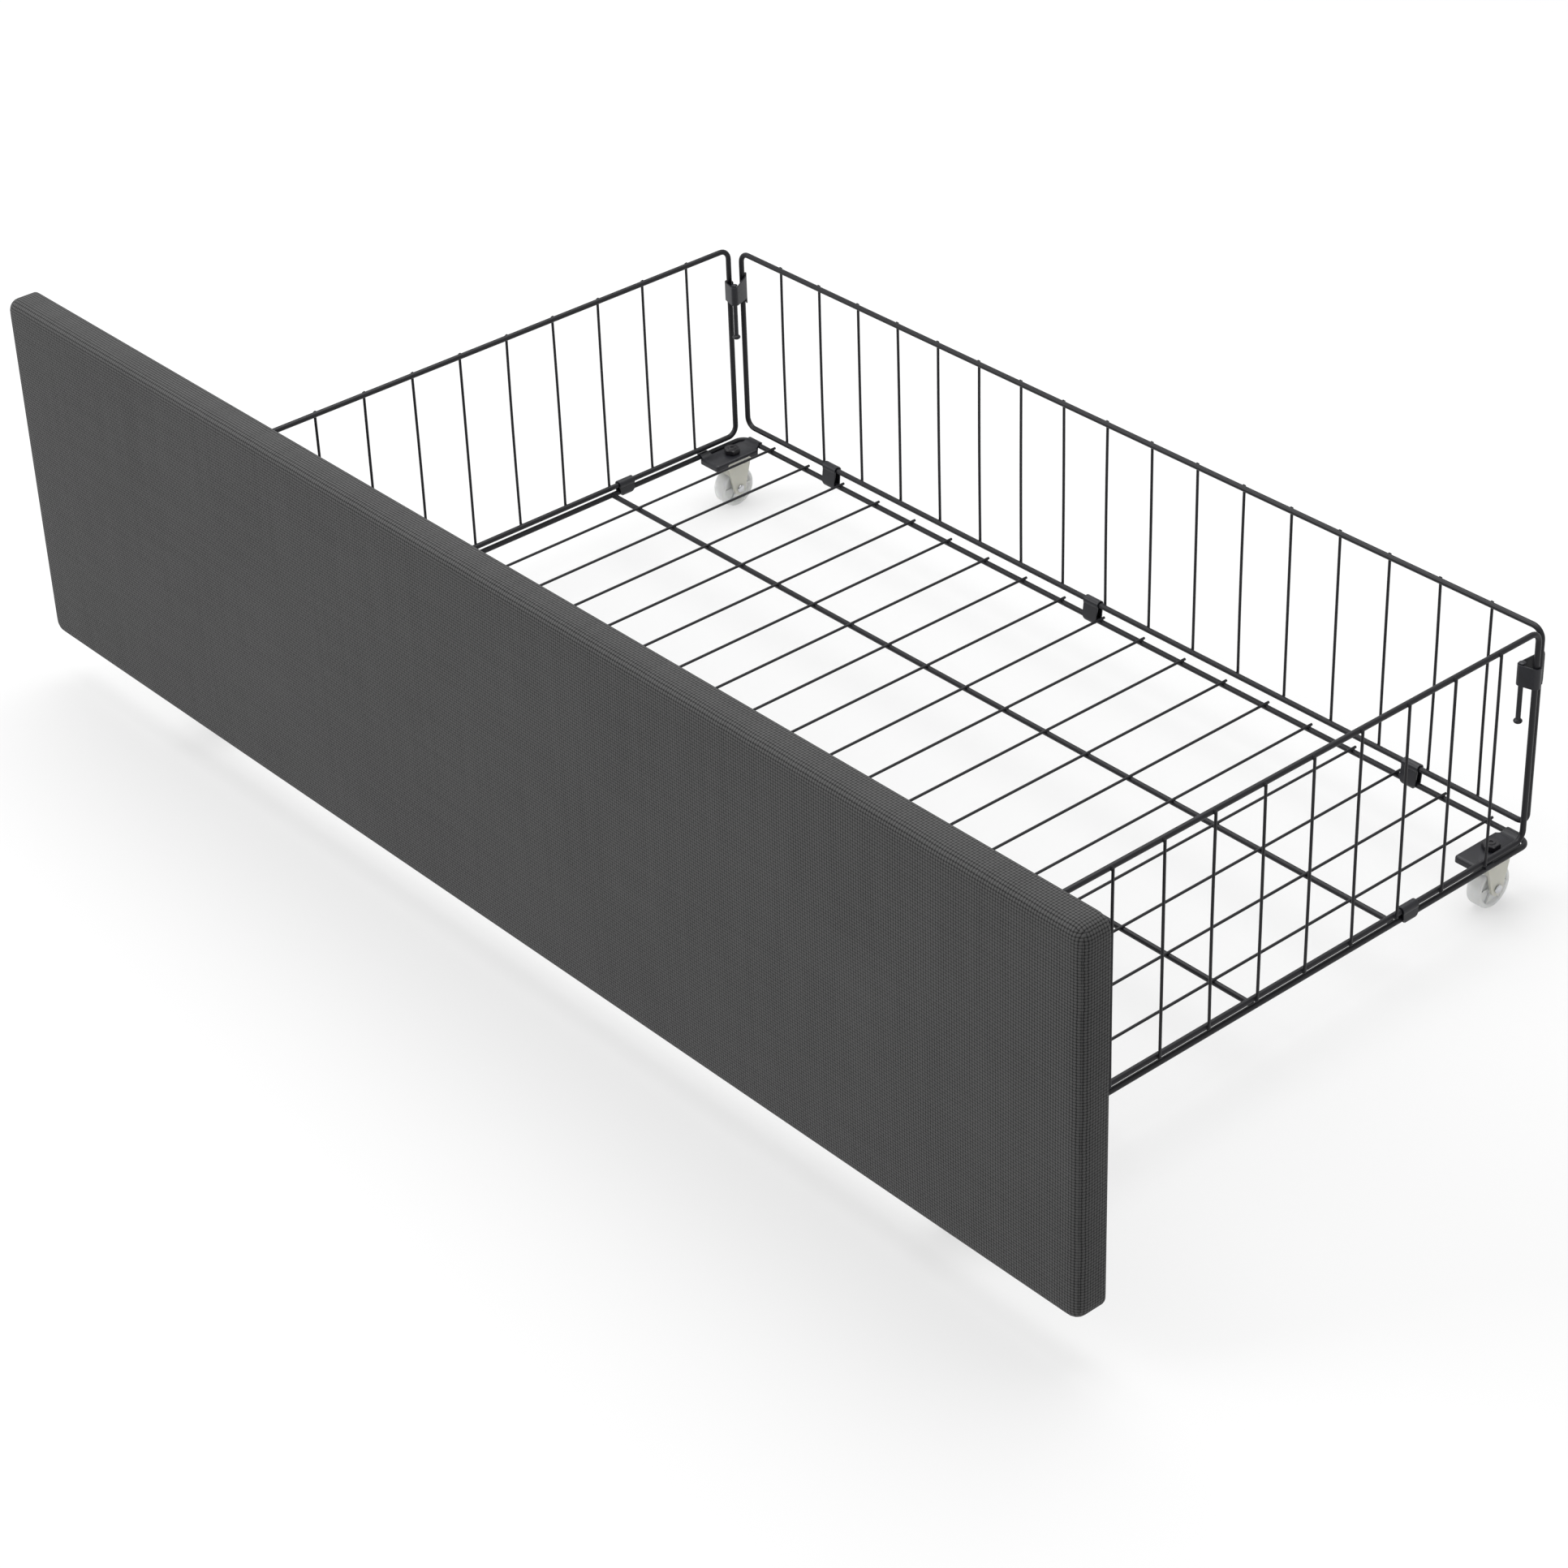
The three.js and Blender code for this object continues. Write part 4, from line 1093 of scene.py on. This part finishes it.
def make_straps():
    """Bent straps that grip the front panel's wires, each screwed to the board."""
    wire_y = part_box("front_panel")[1].y - THICK_WIRE / 2 * EIGHT_SIDED
    radius = THICK_WIRE / 2 + WRAP_GAP + SHEET / 2
    for i in (1, 2, 3, 4):
        low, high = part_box(f"board_strap_{i}")
        centre_x, half = (low.x + high.x) / 2, (high.x - low.x) / 2
        wire_z = low.z + radius + SHEET / 2
        tab = wire_y - low.y - SHEET / 2
        path = (
            flat_arc((0, 0), radius, -50, -268, 26)
            + [Vector((tab * 0.55, radius + 0.35 * MM)), Vector((tab * 0.9, radius + 1.3 * MM)),
               Vector((tab, radius + 2.6 * MM)), Vector((tab, high.z - wire_z - 3 * MM)),
               Vector((tab, high.z - wire_z - 1.2 * MM)), Vector((tab, high.z - wire_z))]
        )
        trims = [half] * (len(path) - 2) + [half - 1.0 * MM, half - 3.0 * MM]
        bm = bmesh.new()
        formed_sheet(bm, path, [-t for t in trims], trims,
                     lambda p, w: Vector((centre_x + w, wire_y - p[0], wire_z + p[1])))
        make_piece(f"strap_{i}", bm, STEEL_FINISH, "base", [f"board_strap_{i}"])
        make_screw(i)


def make_screw(i):
    """A pan-head wood screw with a cross recess."""
    low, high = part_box(f"board_screw_{i}")
    centre = (low + high) / 2
    head, shank = (high.x - low.x) / 2, 1.6 * MM
    tall = 1.9 * MM
    dome = [(head * math.sin(math.radians(a)), tall * 0.45 + tall * 0.55 * math.cos(math.radians(a)))
            for a in (4, 25, 45, 65, 82, 90)]
    length = high.y - low.y - tall
    profile = dome + [(head, 0.0), (shank, 0.0), (shank, -length + 2 * MM), (0.2 * MM, -length)]

    def place(x, y, height):
        return Vector((centre.x + x, high.y - tall + height, centre.z + y))

    bm = bmesh.new()
    lathe(bm, profile, place, 36)
    cross = bmesh.new()
    arm, width = head * 0.62, 0.42 * MM
    outline = [
        (arm, width), (width, width), (width, arm), (-width, arm), (-width, width), (-arm, width),
        (-arm, -width), (-width, -width), (-width, -arm), (width, -arm), (width, -width), (arm, -width),
    ]
    drawn_out(cross, [Vector(p) for p in outline], tall - 0.9 * MM, tall + 1 * MM,
              lambda p, h: place(p[0], p[1], h))
    bm = combine(bm, cross, "DIFFERENCE")
    make_piece(f"wood_screw_{i}", bm, ZINC_FINISH, "base", [f"board_screw_{i}"], 30)


def finish_hidden_parts():
    core = frame["nodes"]["front_board_core"]
    core.data.materials.clear()
    core.data.materials.append(CORE_FINISH)


# ---- floor, light and camera -------------------------------------------------------------------
def make_studio():
    bpy.ops.mesh.primitive_plane_add(size=14, location=(0, 0, 0))
    floor = bpy.context.object
    floor.name = "studio_floor"
    f = Finish("studio_floor", (0.3, 0.3, 0.3), 0.9, Specular_IOR_Level=0.0, Emission_Strength=0.5)
    f.shader.inputs["Emission Color"].default_value = (1, 1, 1, 1)
    floor.data.materials.append(f.material)
    world = bpy.data.worlds.new("studio")
    world.use_nodes = True
    world.node_tree.nodes["Background"].inputs["Color"].default_value = (1, 1, 1, 1)
    world.node_tree.nodes["Background"].inputs["Strength"].default_value = 0.8
    bpy.context.scene.world = world
    for name, place, target, size, power in (
        ("top_light", (-0.4, 0.3, 2.8), (0, 0, 0), 2.8, 92),
        ("front_light", (-1.6, -2.6, 1.7), (0, -0.1, 0.1), 1.8, 62),
    ):
        data = bpy.data.lights.new(name, "AREA")
        data.shape = "SQUARE"
        data.size = size
        data.energy = power
        lamp = bpy.data.objects.new(name, data)
        lamp.location = place
        lamp.rotation_euler = (Vector(target) - Vector(place)).to_track_quat("-Z", "Y").to_euler()
        bpy.context.scene.collection.objects.link(lamp)


def make_camera():
    azimuth, elevation, roll = math.radians(50.10), math.radians(32.92), math.radians(-2.19)
    target = Vector((0.0025, -0.0297, 0.0385))
    distance = 2.35465
    back = Vector((math.sin(azimuth) * math.cos(elevation), -math.cos(azimuth) * math.cos(elevation),
                   math.sin(elevation)))
    right = Vector((math.cos(azimuth), math.sin(azimuth), 0))
    above = back.cross(right)
    camera_x = right * math.cos(roll) + above * math.sin(roll)
    camera_y = above * math.cos(roll) - right * math.sin(roll)
    data = bpy.data.cameras.new("camera")
    data.sensor_width = 36
    data.lens = 90.31
    data.clip_end = 50
    camera = bpy.data.objects.new("camera", data)
    axes = Matrix((camera_x, camera_y, back)).transposed().to_4x4()
    axes.translation = target + back * distance
    camera.matrix_world = axes
    bpy.context.scene.collection.objects.link(camera)
    bpy.context.scene.camera = camera
    bpy.context.scene.view_settings.view_transform = "Standard"


make_camera()
make_floor_grid()
make_panels()
make_clips()
for latch_end in ("rear", "front"):
    for latch_side in ("left", "right"):
        make_latch(latch_end, latch_side)
make_casters()
make_board_cover()
make_lining()
make_straps()
finish_hidden_parts()
make_studio()
